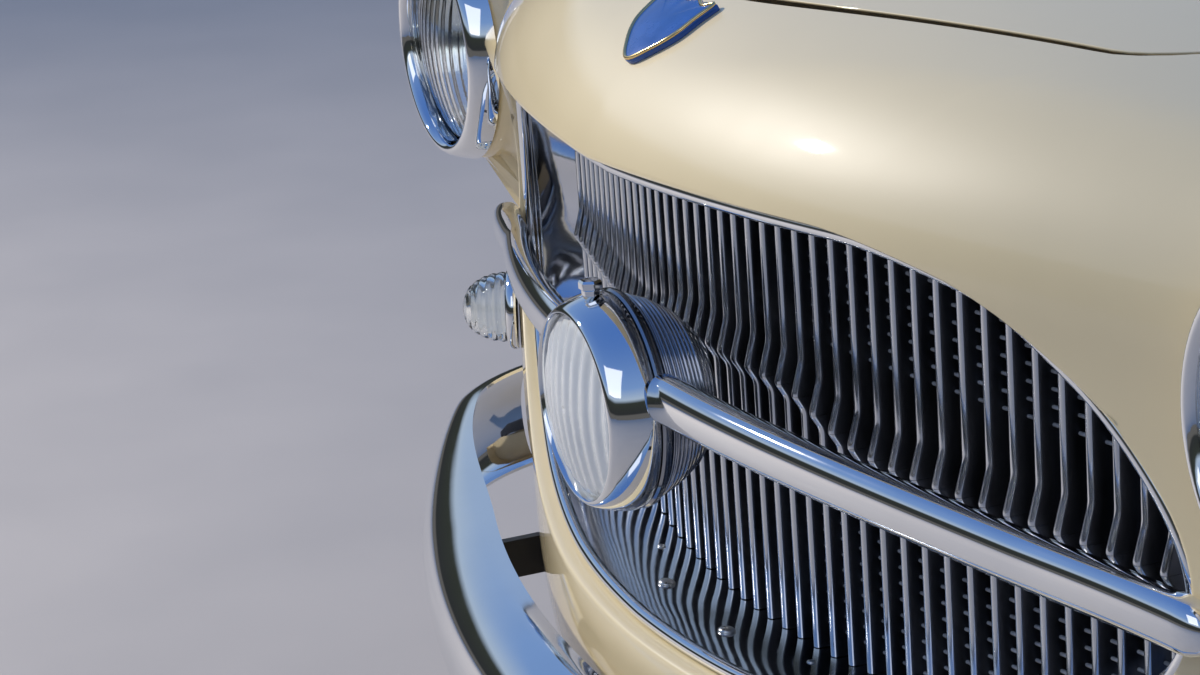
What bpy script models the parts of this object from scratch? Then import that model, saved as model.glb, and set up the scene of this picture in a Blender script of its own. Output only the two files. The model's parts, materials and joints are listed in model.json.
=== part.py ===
# Front end of a small 1950s four-door saloon: nose, wings, bonnet, grille with centre lamp and bumper.
# Metres. Worked in the grille's own frame, its origin at the middle of the grille, then moved so that the
# middle of the bulkhead's rear face is the world's origin. +X is the car's left, -Y its front, +Z up.
import math

import bpy
import bmesh
import numpy as np

# Driving dimensions
BULKHEAD_Y = 0.98          # bulkhead's rear face behind the middle of the grille
BULKHEAD_Z = 0.013
BULKHEAD_W = 1.17
BULKHEAD_H = 0.62
BULKHEAD_T = 0.020
SHEET = 0.0025
GAP = 0.0003
SEAM = 0.0030              # shut line half gap beside the bonnet
HALF_WIDTH = 0.729
WHEEL_Y = 0.46
WHEEL_Z = -0.30
ARCH_R = 0.340
SKIRT_Z = -0.330           # lower edge of nose and wings
REAR_Y = 0.960             # wings' rear flanges, the front doors' shut line
SHUT_Y = -0.002            # bonnet's front shut line at the centre
SHUT_BOW = 0.52            # how far it sweeps back towards the corners
CORNER_START = 0.335       # where its rounded corner starts
CORNER_TURN = 0.026        # how far the corner turns back
BONNET_REAR_Y = 0.915
NOSE_Y = -0.090            # front face at the centre
BOW2, BOW4 = 0.609, -0.534
TRIM_Y = -0.075
TRIM_R = 0.0050
OPEN_HALF = 0.495
LAMP_Y = -0.108            # middle of the centre lamp's lens
LAMP_Z = 0.038
LAMP_LENS_R = 0.061
LAMP_RIM_R = 0.073
HEAD_X = 0.620
HEAD_Z = 0.161
HEAD_R = 0.080
POD_R = 0.098
POD_Y = 0.035
HOLE_R = 0.0885            # hole for the headlamp bowl
BAR_Y = -0.082
BAR_Z = 0.058
BAR_BOW2, BAR_BOW4 = 0.557, -0.433
BAR_DROP = 0.118           # fall of the bar towards its ends
BAR_H = 0.032
BAR_D = 0.024
BAR_START = 0.0730
BAR_END = OPEN_HALF + 0.0190  # the bar runs past the opening, over the paint
BAR_LIFT = 0.0064          # how far it stands forward there
BAR_RISE = 0.0050          # and how much higher it lies
BAR_LAND = 0.100           # where that starts, before the opening's end
BAR_LAND_RUN = 0.105
FIN_PITCH = 0.0213
FIN_W = 0.0070
FIN_D = 0.022
FIN_BOW2, FIN_BOW4 = 0.4426, -0.602
BUMPER_Y = -0.168
BUMPER_Z = -0.200
BUMPER_BOW = 0.40
BUMPER_HALF = 0.700
SIDE_X = HALF_WIDTH - 0.114
SIDE_Z = -0.072

ORIGIN = (0.0, BULKHEAD_Y, BULKHEAD_Z)

# Body skin: lip over the grille, tuck under it, dish round the pods, and how the sides and top fall away
LIP_OUT, LIP_Z, LIP_H, LIP_HALF = 0.016, 0.222, 0.050, 0.42
TUCK, TUCK_Z = 1.3, -0.16
DISH_DEEP, DISH_OUT, DISH_R = 0.030, 0.01, math.sqrt(0.0180)
NARROW, NARROW_Y, NARROW_RUN = 0.045, -0.07, 0.24
TUMBLE, TUMBLE_Z = 0.30, -0.02
SILL_IN, SILL_Z = 0.10, -0.05
BONNET_Z, BONNET_Y, BONNET_RISE, BONNET_BOW = 0.332, 0.1, 0.045, 0.226
FALL, FALL_Y, FALL_RUN = 0.075, -0.065, 0.075
CROWN, CROWN_X, CROWN_W = 0.040, 0.625, 0.07
FRONT_R, TOP_R, TOP_R_GROW, TOP_R_HALF = 0.11, 0.045, 0.05, 0.6
POD_EDGE_R, POD_ROOT_R = 0.008, 0.022

# Opening outline: angle share from the end (0) to the middle (1), upper height and lower depth
OUTLINE = [
    ("share", "up", "down"),
    (0.00, 0.035, 0.035),
    (0.20, 0.097, -0.018),
    (0.353, 0.146, -0.050),
    (0.506, 0.184, -0.080),
    (0.667, 0.197, -0.101),
    (0.84, 0.196, -0.113),
    (1.00, 0.193, -0.115),
]

# Paint and metal looks: name, base colour, metallic, roughness
LOOKS = [
    ("paint", (0.745, 0.615, 0.385), 0.0, 0.22),
    ("chrome", (0.80, 0.80, 0.80), 1.0, 0.06),
    ("alu", (0.72, 0.72, 0.72), 1.0, 0.22),
    ("black", (0.015, 0.015, 0.016), 0.0, 0.35),
    ("core", (0.03, 0.03, 0.03), 0.5, 0.5),
    ("lens", (0.75, 0.78, 0.80), 0.0, 0.05),
    ("rubber", (0.02, 0.02, 0.02), 0.0, 0.7),
    ("primer", (0.42, 0.36, 0.26), 0.0, 0.5),
    ("steel", (0.55, 0.55, 0.56), 1.0, 0.35),
    ("enamel", (0.02, 0.06, 0.25), 0.0, 0.15),
]

for item in list(bpy.data.objects):
    bpy.data.objects.remove(item)


def material(node, look):
    _, colour, metal, rough = next(row for row in LOOKS if row[0] == look)
    mat = bpy.data.materials.new(node)
    mat.use_nodes = True
    bsdf = mat.node_tree.nodes["Principled BSDF"]
    bsdf.inputs["Base Color"].default_value = (*colour, 1.0)
    bsdf.inputs["Metallic"].default_value = metal
    bsdf.inputs["Roughness"].default_value = rough
    mat.diffuse_color = (*colour, 1.0)
    return mat


def node(name, verts, faces, look, smooth=True, pivot=ORIGIN):
    """A named piece, its own origin at pivot (the world's origin unless the piece turns on a joint)."""
    mesh = bpy.data.meshes.new(name)
    local = np.asarray(verts, float) - np.array(pivot)
    mesh.from_pydata([tuple(v) for v in local], [], [list(map(int, f)) for f in faces])
    mesh.update()
    work = bmesh.new()
    work.from_mesh(mesh)
    bmesh.ops.recalc_face_normals(work, faces=work.faces)
    if work.calc_volume(signed=True) < 0:
        bmesh.ops.reverse_faces(work, faces=work.faces)
    work.to_mesh(mesh)
    work.free()
    obj = bpy.data.objects.new(name, mesh)
    obj.location = np.array(pivot) - np.array(ORIGIN)
    bpy.context.scene.collection.objects.link(obj)
    mesh.materials.append(material(name, look))
    for poly in mesh.polygons:
        poly.use_smooth = smooth
    return obj


def cutter(name, verts, faces):
    obj = node(name, verts, faces, "steel")
    obj.hide_render = True
    obj.display_type = "WIRE"
    return obj


def boolean(obj, tool, operation="DIFFERENCE"):
    mod = obj.modifiers.new(tool.name, "BOOLEAN")
    mod.operation = operation
    mod.solver = "EXACT"
    mod.object = tool


# The skin: a field that is negative inside the body and zero on its outer face
def both(a, b, r):
    return np.minimum(np.maximum(a, b), -r) + np.hypot(np.maximum(a + r, 0), np.maximum(b + r, 0))


def either(a, b, r):
    return np.maximum(np.minimum(a, b), r) - np.hypot(np.maximum(r - a, 0), np.maximum(r - b, 0))


def bump(distance, width):
    """A smooth hump of height one, fading over its width."""
    return np.exp(-((distance / width) ** 2))


def skin(p):
    x, y, z = np.abs(p[..., 0]), p[..., 1], p[..., 2]
    lip = LIP_OUT * bump(z - LIP_Z, LIP_H) * np.exp(-((x / LIP_HALF) ** 4))
    tuck = TUCK * np.maximum(TUCK_Z - z, 0) ** 2
    from_pod = (x - HEAD_X - DISH_OUT) ** 2 + (z - HEAD_Z) ** 2
    dish = DISH_DEEP * np.exp(-from_pod / DISH_R**2)
    lean = np.sqrt(1 + (2 * BOW2 * x + 4 * BOW4 * x**3) ** 2)
    front = (NOSE_Y + BOW2 * x**2 + BOW4 * x**4 - lip + tuck + dish - y) / lean
    nose_in = NARROW * np.exp(-(y - NARROW_Y) / NARROW_RUN)
    shoulder = TUMBLE * np.maximum(z - TUMBLE_Z, 0) ** 2
    sill = SILL_IN * np.maximum(SILL_Z - z, 0) ** 2
    side = x - (HALF_WIDTH - nose_in - shoulder - sill)
    fall = FALL * np.exp(-(y - FALL_Y) / FALL_RUN)
    wing_crown = CROWN * bump(x - CROWN_X, CROWN_W)
    top = z - (BONNET_Z + BONNET_RISE * (y - BONNET_Y) - fall - BONNET_BOW * x**2 + wing_crown)
    corner_r = TOP_R + TOP_R_GROW * np.clip(x / TOP_R_HALF, 0, 1)
    body = both(both(front, side, FRONT_R), top, corner_r)
    pod = both(np.hypot(x - HEAD_X, z - HEAD_Z) - POD_R, POD_Y - y, POD_EDGE_R)
    return either(body, pod, POD_ROOT_R)


def slope(p):
    step = 1e-5
    out = np.zeros(p.shape)
    for k in range(3):
        d = np.zeros(3)
        d[k] = step
        out[..., k] = (skin(p + d) - skin(p - d)) / (2 * step)
    return out


def project(p, axes=(1, 1, 1), rounds=40):
    p = np.array(p, float)
    mask = np.array(axes, float)
    for _ in range(rounds):
        g = slope(p) * mask
        n2 = np.maximum((g**2).sum(-1), 0.02)
        move = skin(p)[..., None] * g / n2[..., None]
        size = np.maximum(np.linalg.norm(move, axis=-1, keepdims=True), 1e-12)
        p = p - move * np.minimum(1, 0.03 / size)
        if size.max() < 1e-9:
            break
    return p


def normals(p):
    g = slope(p)
    return g / np.linalg.norm(g, axis=-1, keepdims=True)


def thick(verts, faces, depth=SHEET):
    """A closed sheet: the given outer face, the same face moved inward, and the edge between them."""
    verts = np.asarray(verts, float)
    inner = verts - depth * normals(verts)
    count = len(verts)
    used = {}
    for face in faces:
        for a, b in zip(face, face[1:] + face[:1]):
            used[(a, b)] = used.get((a, b), 0) + 1
    rim = [[b, a, a + count, b + count] for (a, b) in used if (b, a) not in used]
    back = [[v + count for v in reversed(face)] for face in faces]
    return np.vstack([verts, inner]), faces + back + rim


def grid_faces(rows, cols, wrap=False):
    out = []
    for i in range(rows - 1):
        for j in range(cols if wrap else cols - 1):
            k = (j + 1) % cols
            out.append([i * cols + j, i * cols + k, (i + 1) * cols + k, (i + 1) * cols + j])
    return out


def smooth_curve(keys, values, at):
    """Monotone cubic through the points, as a sheet metal line needs."""
    keys, values, at = np.asarray(keys, float), np.asarray(values, float), np.asarray(at, float)
    h = np.diff(keys)
    d = np.diff(values) / h
    m = np.zeros(len(keys))
    m[0], m[-1] = d[0], d[-1]
    for i in range(1, len(keys) - 1):
        if d[i - 1] * d[i] > 0:
            w1, w2 = 2 * h[i] + h[i - 1], h[i] + 2 * h[i - 1]
            m[i] = (w1 + w2) / (w1 / d[i - 1] + w2 / d[i])
    i = np.clip(np.searchsorted(keys, at) - 1, 0, len(keys) - 2)
    t = (at - keys[i]) / h[i]
    return ((1 + 2 * t) * (1 - t) ** 2 * values[i] + t * (1 - t) ** 2 * h[i] * m[i]
            + t * t * (3 - 2 * t) * values[i + 1] + t * t * (t - 1) * h[i] * m[i + 1])


def outline(count, grow=0.0):
    """The opening's outline in the front view, anticlockwise from the car's left end, grown outward."""
    share = [row[0] for row in OUTLINE[1:]]
    quarter = max(4, count // 4)
    t = np.linspace(0, 1, quarter + 1)
    u = np.cos(t * math.pi / 2)
    up = smooth_curve(share, [row[1] for row in OUTLINE[1:]], t)
    down = smooth_curve(share, [row[2] for row in OUTLINE[1:]], t)
    pts = [(OPEN_HALF * a, b) for a, b in zip(u, up)]
    pts += [(-OPEN_HALF * a, b) for a, b in zip(u[-2::-1], up[-2::-1])]
    pts += [(-OPEN_HALF * a, b) for a, b in zip(u[1:], down[1:])]
    pts += [(OPEN_HALF * a, b) for a, b in zip(u[-2:0:-1], down[-2:0:-1])]
    p = np.array(pts)
    step = np.roll(p, -1, 0) - np.roll(p, 1, 0)
    n = np.stack([step[:, 1], -step[:, 0]], 1)
    n /= np.linalg.norm(n, axis=1, keepdims=True)
    return p + n * grow


def trim_line(x):
    return TRIM_Y + BOW2 * x**2 + BOW4 * x**4


def lathe(profile, centre, count, axis="Y", tilt=None):
    """A round body from a closed (radius, along) profile; points with radius zero close on the axis."""
    verts, rings = [], []
    for r, a in profile:
        if r <= 0:
            rings.append([len(verts)] * count)
            verts.append((0.0, a, 0.0))
        else:
            rings.append(list(range(len(verts), len(verts) + count)))
            turns = [2 * math.pi * k / count for k in range(count)]
            verts += [(r * math.cos(t), a, r * math.sin(t)) for t in turns]
    faces = []
    closed = profile[0][0] > 0
    last = len(rings) if closed else len(rings) - 1
    for i in range(last):
        a, b = rings[i], rings[(i + 1) % len(rings)]
        for k in range(count):
            m = (k + 1) % count
            f = [a[k], a[m], b[m], b[k]]
            f = [v for n, v in enumerate(f) if v not in f[:n]]
            if len(f) > 2:
                faces.append(f)
    v = np.array(verts)
    if axis == "Z":
        v = v[:, [0, 2, 1]]
    if axis == "X":
        v = v[:, [1, 0, 2]]
    if tilt is not None:
        v = v @ np.array(tilt).T
    return v + np.array(centre), faces


def sweep(path, section, frames):
    """A closed tube of the section's points (side, up) along the path; frames gives (side, up) vectors."""
    path = np.asarray(path, float)
    verts = []
    for p, (s, u) in zip(path, frames):
        verts += [p + a * np.asarray(s) + b * np.asarray(u) for a, b in section]
    n, m = len(path), len(section)
    ends = [list(range(m))[::-1], [(n - 1) * m + j for j in range(m)]]
    return np.array(verts), grid_faces(n, m, wrap=True) + ends


def box(x0, x1, y0, y1, z0, z1):
    v = [(x, y, z) for z in (z0, z1) for y in (y0, y1) for x in (x0, x1)]
    return v, [[0, 2, 3, 1], [4, 5, 7, 6], [0, 1, 5, 4], [2, 6, 7, 3], [0, 4, 6, 2], [1, 3, 7, 5]]


def joined(parts):
    verts, faces = [], []
    for v, f in parts:
        n = len(verts)
        verts += [tuple(p) for p in v]
        faces += [[i + n for i in face] for face in f]
    return verts, faces


# Seams between the nose, the wings and the bonnet
TOP_HALF = 0.375           # half width of the bonnet's front corners
BONNET_GROW = 0.120        # how much wider each side of the bonnet is at its rear
SEAM_OUT = 0.045           # from the opening's end out to the seam
SEAM_STEP = 0.125          # how far the seam runs inward above the opening
SEAM_STEP_Z, SEAM_STEP_H = 0.110, 0.050
SEAM_HALF = 0.0010         # the wing's clearance beside the nose


def shut_y(x):
    """The bonnet's front shut line in plan."""
    x = np.abs(np.asarray(x, float))
    corner = np.maximum(x - CORNER_START, 0) / (TOP_HALF - CORNER_START)
    return SHUT_Y + SHUT_BOW * x**1.6 + CORNER_TURN * corner**2


CORNER_Y = float(shut_y(TOP_HALF))


def seam_x(z):
    """Half width of the seam beside the nose, by height."""
    step = 0.5 * (1 + np.tanh((np.asarray(z, float) - SEAM_STEP_Z) / SEAM_STEP_H))
    return OPEN_HALF + SEAM_OUT - SEAM_STEP * step


def bonnet_x(y):
    """Half width of the bonnet's side shut line, by distance back."""
    share = np.clip((np.asarray(y, float) - CORNER_Y) / (BONNET_REAR_Y - CORNER_Y), 0, 1)
    return TOP_HALF + BONNET_GROW * share**0.8


def spaced(curve, count):
    """The curve at equal steps of its own length."""
    curve = np.asarray(curve, float)
    run = np.concatenate([[0], np.cumsum(np.linalg.norm(np.diff(curve, axis=0), axis=1))])
    return np.stack([np.interp(np.linspace(0, run[-1], count), run, curve[:, k]) for k in range(3)], 1)


def seam_line(count, shift=0.0):
    """The seam between nose and wing on the skin, from the bottom up to the bonnet's corner."""
    corner = project([(TOP_HALF, CORNER_Y, 0.27)], (0, 0, 1))[0]
    zs = np.linspace(SKIRT_Z, corner[2], 60)
    low = project([(float(seam_x(z)), 0.0, z) for z in zs[zs < 0.20]], (0, 1, 0))
    last = low[-1]
    arc = []
    for t in np.linspace(0, 1, 16)[1:-1]:
        arc.append(last + (corner - last) * t + np.array([0, 0.0, 0.02 * math.sin(math.pi * t)]))
    high = project(arc, (0, 1, 1))
    whole = spaced(np.vstack([low, high, [corner]]), count)
    whole[:, 0] += shift
    whole[1:-1] = project(whole[1:-1], (0, 1, 1))
    whole[0] = project(whole[0], (0, 1, 0))
    whole[-1] = project(whole[-1], (0, 0, 1))
    return whole


def bottom_front(x1, count):
    """The lower edge of the nose from the centre out to x1."""
    return project([(x1 * t, 0.0, SKIRT_Z) for t in np.linspace(0, 1, count)], (0, 1, 0))


# Nose panel, as rings from the opening's edge out to its seams
NB, NS, NT, ROWS = 11, 15, 9, 5
EDGE_GROW = 0.0048         # nose's edge outside the opening's line, seating the trim
HUB_Z = 0.04               # height about which the rings turn


def nose_outer():
    """The nose panel's outer edge: bottom, seams and the bonnet's front shut line."""
    seam = seam_line(NS)
    top_x = seam[-1][0]
    shut = [(top_x * t, float(shut_y(top_x * t)), 0.30) for t in np.linspace(1, 0, NT)]
    half = np.vstack([bottom_front(seam[0][0], NB), seam[1:], project(shut, (0, 0, 1))[1:]])
    return np.vstack([half, half[-2:0:-1] * np.array([-1, 1, 1])])


def nose_inner(outer):
    """The opening's edge, one point at the same angle as each point of the outer edge."""
    edge = outline(240, EDGE_GROW)
    angle = np.unwrap(np.arctan2(edge[:, 1] - HUB_Z, edge[:, 0]))
    want = np.arctan2(outer[:, 2] - HUB_Z, outer[:, 0])
    want = np.where(want < angle[0], want + 2 * math.pi, want)
    angle = np.append(angle, angle[0] + 2 * math.pi)
    edge = np.vstack([edge, edge[:1]])
    x, z = np.interp(want, angle, edge[:, 0]), np.interp(want, angle, edge[:, 1])
    return project(np.stack([x, np.full(len(outer), NOSE_Y), z], 1), (0, 1, 0))


def nose_panel():
    outer = nose_outer()
    inner = nose_inner(outer)
    rings = [inner]
    for k in range(1, ROWS):
        t = (k / ROWS) ** 1.2
        rings.append(project(inner * (1 - t) + outer * t))
    rings.append(outer)
    verts, faces = thick(np.vstack(rings), grid_faces(ROWS + 1, len(outer), wrap=True))
    node("nose_panel", verts, faces, "paint")


nose_panel()


# Wings: rings round the headlamp out to the edges, then stations back to the doors' shut line
def wing(side, name):
    corner_b = project([(0.70, 0.118, SKIRT_Z)], (1, 0, 0))[0]
    seam_w = seam_line(NS, SEAM_HALF)
    bottom = []
    a = seam_w[0]
    for t in np.linspace(0, 1, 14):
        s_, c_ = math.sin(t * math.pi / 2), math.cos(t * math.pi / 2)
        bottom.append((a[0] + (corner_b[0] - a[0]) * s_, corner_b[1] + (a[1] - corner_b[1]) * c_, SKIRT_Z))
    bottom = np.array(bottom)
    bottom[1:-1] = project(bottom[1:-1], (1, 1, 0))
    bottom[0], bottom[-1] = a, corner_b
    corner_t = project([(TOP_HALF + SEAM_HALF + SEAM, CORNER_Y, 0.27)], (0, 0, 1))[0]
    seam_w[-1] = corner_t
    seam_w[-2] = project(seam_w[-2] + np.array([SEAM * 0.4, 0, 0]), (0, 1, 1))
    NR = 15
    cx, cz = 0.533, 0.04

    def section(y_of, first, last, count=NR):
        a0 = math.atan2(first[2] - cz, first[0] - cx)
        a1 = math.atan2(last[2] - cz, last[0] - cx)
        pts = []
        for k in range(1, count - 1):
            t = k / (count - 1)
            ang = a0 + (a1 - a0) * t
            pts.append((cx + 0.22 * math.cos(ang), y_of(t), cz + 0.24 * math.sin(ang)))
        mid = project(pts, (1, 0, 1), 60)
        return np.vstack([[first], mid, [last]])

    ring_m = section(lambda t: corner_b[1] + (corner_t[1] - corner_b[1]) * t, corner_b, corner_t)
    loop = np.vstack([bottom, ring_m[1:], seam_w[::-1][1:-1]])
    n = len(loop)
    ang = np.arctan2(loop[:, 2] - HEAD_Z, loop[:, 0] - HEAD_X)

    def circle(radius, y):
        return np.stack([HEAD_X + radius * np.cos(ang), np.full(n, y), HEAD_Z + radius * np.sin(ang)], 1)

    hole = project(circle(HOLE_R, POD_Y), (0, 1, 0))
    shoulder = project(circle(POD_R - 0.002, POD_Y + 0.003))
    neck = project(circle(POD_R, POD_Y + 0.010))
    rings = [hole, shoulder, neck]
    M = 5
    for k in range(1, M):
        t = (k / M) ** 1.25
        rings.append(project(neck * (1 - t) + loop * t))
    rings.append(loop)
    verts = list(np.vstack(rings))
    faces = grid_faces(len(rings), n, wrap=True)
    start = (len(rings) - 1) * n + len(bottom) - 1
    previous = list(range(start, start + len(ring_m)))
    half_arch = math.sqrt(ARCH_R**2 - (WHEEL_Z - SKIRT_Z) ** 2)
    stations = [WHEEL_Y - half_arch * math.cos(math.pi * k / 11) for k in range(12)]
    stations += [stations[-1] + (REAR_Y - stations[-1]) * k / 4 for k in range(1, 5)]
    for y0 in stations:
        t = (y0 - corner_b[1]) / (REAR_Y - corner_b[1])
        y1 = corner_t[1] + (REAR_Y - corner_t[1]) * t
        reach = abs(y0 - WHEEL_Y)
        over_wheel = reach < half_arch - 1e-6
        z0 = WHEEL_Z + math.sqrt(max(0.0, ARCH_R**2 - reach**2)) if over_wheel else SKIRT_Z
        first = project([(0.70, y0, z0)], (1, 0, 0))[0]
        last = project([(float(bonnet_x(y1)) + SEAM_HALF + SEAM, y1, 0.29)], (0, 0, 1))[0]
        row = section(lambda q: y0 + (y1 - y0) * q, first, last)
        base = len(verts)
        verts += list(row)
        now = list(range(base, base + len(row)))
        for j in range(len(row) - 1):
            faces.append([previous[j], previous[j + 1], now[j + 1], now[j]])
        previous = now
    verts, faces = thick(np.array(verts), faces)
    verts = verts * np.array([side, 1, 1])
    node(name, verts, faces, "paint")


wing(1, "wing_left")
wing(-1, "wing_right")

# Bonnet and the axis it turns on
PIVOT_Y = BONNET_REAR_Y + 0.030
HINGE_X = 0.330
PIVOT_DROP = 0.022         # hinge axis below the skin
PIVOT_Z = float(project([(HINGE_X, BONNET_REAR_Y, 0.33)], (0, 0, 1))[0][2]) - PIVOT_DROP
PIVOT = (0.0, PIVOT_Y, PIVOT_Z)
BU, BV = 15, 9


def bonnet_panel():
    rows = []
    for j in range(BV):
        v = j / (BV - 1)
        for i in range(BU):
            u = -1 + 2 * i / (BU - 1)
            x = u * (TOP_HALF - SEAM)
            y0 = float(shut_y(x)) + 2 * SEAM
            y = y0 + (BONNET_REAR_Y - y0) * v
            for _ in range(3):
                x = u * (float(bonnet_x(y)) - SEAM)
                if j == 0:
                    y = float(shut_y(x)) + 2 * SEAM
            rows.append((x, y, 0.32))
    verts, faces = thick(project(rows, (0, 0, 1)), grid_faces(BV, BU))
    node("bonnet_panel", verts, faces, "paint", pivot=PIVOT)


bonnet_panel()


# Grille surround: the polished tray from the trim back to the fins
def fin_line(x):
    return FIN_BOW2 * x**2 + FIN_BOW4 * x**4


TRAY_N = 56
TRAY_SEAT = 0.0002         # clearance behind the trim
TRAY_IN = 0.0020           # how much the tray narrows to its rear edge
TRAY_REAR = 0.012          # its rear edge behind the fins' fronts
TRAY_SINK = 0.010          # fall of its lower side towards the fins
WALL = 0.0015
FIN_HALF = OPEN_HALF - 0.031  # half width of the tray where the fins stand
FINS_SIDE = int((FIN_HALF - 0.0230) / FIN_PITCH + 0.5)


def tray_front(grow):
    back = TRIM_R + TRAY_SEAT
    return [(x, trim_line(x) + back, z) for x, z in outline(TRAY_N, grow)]


def tray_rear(grow):
    pts = []
    for x, z in outline(TRAY_N, grow - TRAY_IN):
        x = x * FIN_HALF / OPEN_HALF
        z = z - TRAY_SINK * min(1.0, max(0.0, (0.04 - z) / 0.10))
        pts.append((x, fin_line(x) + TRAY_REAR, z))
    return pts


def grille_surround():
    loops = [tray_front(0.0), tray_rear(0.0), tray_rear(WALL), tray_front(WALL)]
    faces = grid_faces(len(loops), TRAY_N, wrap=True)
    last = (len(loops) - 1) * TRAY_N
    faces += [[last + j, last + (j + 1) % TRAY_N, (j + 1) % TRAY_N, j] for j in range(TRAY_N)]
    node("grille_surround", np.vstack(loops), faces, "alu")


def grille_trim():
    """The bead round the opening, a six-sided rod bent to the outline."""
    path = np.array([(x, float(trim_line(x)), z) for x, z in outline(52)])
    bead = [(TRIM_R * math.cos(a), TRIM_R * math.sin(a)) for a in np.linspace(0, 2 * math.pi, 6, endpoint=False)]
    verts = []
    for k in range(len(path)):
        t = path[(k + 1) % len(path)] - path[k - 1]
        t /= np.linalg.norm(t)
        up = np.cross(t, (0, 1, 0))
        up /= np.linalg.norm(up)
        side = np.cross(up, t)
        verts += [path[k] + a * up + b * side for a, b in bead]
    m = len(bead)
    last = (len(path) - 1) * m
    faces = grid_faces(len(path), m, wrap=True)
    faces += [[last + j, last + (j + 1) % m, (j + 1) % m, j] for j in range(m)]
    node("grille_trim", verts, faces, "chrome")


grille_surround()
grille_trim()


# Fins: upright blades with a small ridge behind the bar, where the upper and the lower set meet
FIN_SECTION = [(-0.5, 1.0), (-0.3, 0.0), (0.3, 0.0), (0.5, 1.0)]
RIDGE_OUT = 0.0060         # ridge's height in front of the fins
RIDGE_DROP = 0.0225        # from the ridge's upper end to its top
RIDGE_BACK = 0.0100        # from its top to its lower end
RIDGE_Z = 0.0520           # upper end of the ridge away from the lamp
RIDGE_RISE = 0.024         # how much higher it starts beside the lamp
RIDGE_SPAN = 0.060
FIN_MEET = 0.0004
FIN_RAIL_Y = FIN_D - 0.003
RAIL_Z_UPPER, RAIL_Z_LOWER = 0.090, 0.010
RAIL_D, RAIL_H, RAIL_N = 0.006, 0.010, 11
FIN_TOP_SEAT, FIN_FOOT_SEAT = 0.0045, 0.0036  # clearance from the tray, upper and lower set
FIN_END_X, FIN_END_SEAT = 0.42, 0.004  # extra clearance of the outermost fins


def ridge_z(x):
    """Height at which a fin starts to lean forward."""
    beside = max(0.0, abs(x) - LAMP_RIM_R)
    return RIDGE_Z + RIDGE_RISE * math.exp(-((beside / RIDGE_SPAN) ** 2))


def tray_height(x, upper):
    """Height of the tray's inside at the fins, above or below the middle."""
    pts = np.array([(p[0], p[2]) for p in tray_rear(0.0)])
    side = pts[pts[:, 1] > 0.035] if upper else pts[pts[:, 1] <= 0.035]
    side = side[np.argsort(side[:, 0])]
    return float(np.interp(x, side[:, 0], side[:, 1]))


def fin_solid(x, stations):
    """A fin with its front at each station's (back, z) and its rear edge upright."""
    verts = []
    s = np.array(stations, float)
    for b, z in s:
        for w, d in FIN_SECTION:
            back = b + d * (FIN_D - b)
            verts.append((x + w * FIN_W, float(fin_line(x)) + back, z))
    m = len(FIN_SECTION)
    faces = grid_faces(len(s), m, wrap=True) + [list(range(m))[::-1], [(len(s) - 1) * m + j for j in range(m)]]
    return np.array(verts), faces


def rail(z):
    half = FIN_HALF - 0.0225
    path = [(x, float(fin_line(x)) + FIN_RAIL_Y, z) for x in np.linspace(-half, half, RAIL_N)]
    section = [(0, -RAIL_H / 2), (RAIL_D, -RAIL_H / 2), (RAIL_D, RAIL_H / 2), (0, RAIL_H / 2)]
    return sweep(path, section, [((0, 1, 0), (0, 0, 1))] * RAIL_N)


def grille_fins(name, upper):
    """All the fins above, or below, the bar, on the rail behind them."""
    parts = []
    for x in sorted((k + 0.5) * FIN_PITCH * s for k in range(FINS_SIDE) for s in (-1, 1)):
        shorter = FIN_END_SEAT if abs(x) > FIN_END_X else 0.0
        start = ridge_z(x)
        crest = start - RIDGE_DROP
        if upper:
            end = tray_height(x, upper) - shorter - FIN_TOP_SEAT
            stations = [(0.0, end), (0.0, start), (-RIDGE_OUT, crest + FIN_MEET)]
        else:
            end = tray_height(x, upper) + shorter + FIN_FOOT_SEAT
            stations = [(-RIDGE_OUT, crest - FIN_MEET), (0.0, crest - RIDGE_BACK), (0.0, end)]
        parts.append(fin_solid(x, stations))
    base = node(name, *rail(RAIL_Z_UPPER if upper else RAIL_Z_LOWER), "alu")
    boolean(base, cutter(name + "_set", *joined(parts)), "UNION")


grille_fins("grille_fins_upper", True)
grille_fins("grille_fins_lower", False)

# Cross bar in two halves, from the lamp past the opening's corners
BAR_SECTION = [(math.cos(a), math.sin(a)) for a in np.linspace(0, 2 * math.pi, 12, endpoint=False)]
BAR_N = 15


def grille_bar(side, tag):
    path, frames = [], []
    for k in range(BAR_N):
        t = k / (BAR_N - 1)
        x = BAR_START + (BAR_END - BAR_START) * t
        y = BAR_Y + BAR_BOW2 * x**2 + BAR_BOW4 * x**4
        slope_y = 2 * BAR_BOW2 * x + 4 * BAR_BOW4 * x**3
        size = 1.0 if k < BAR_N - 1 else 0.45
        over = min(1.0, max(0.0, (x - OPEN_HALF + BAR_LAND) / BAR_LAND_RUN))
        over = over * over * (3 - 2 * over)
        d = np.array([slope_y, -1.0, 0.0]) / math.hypot(1, slope_y)
        if k == 0:
            d = np.array([0.0, -1.0, 0.0])
        path.append((side * x, y - BAR_LIFT * over, BAR_Z - BAR_DROP * x * x + BAR_RISE * over))
        out = np.array([side * d[0], d[1], 0.0]) * BAR_D / 2
        frames.append((out * size, np.array([0, 0, BAR_H / 2 * size])))
    node("grille_bar_" + tag, *sweep(path, BAR_SECTION, frames), "chrome")


for side, tag in ((1, "left"), (-1, "right")):
    grille_bar(side, tag)

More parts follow.
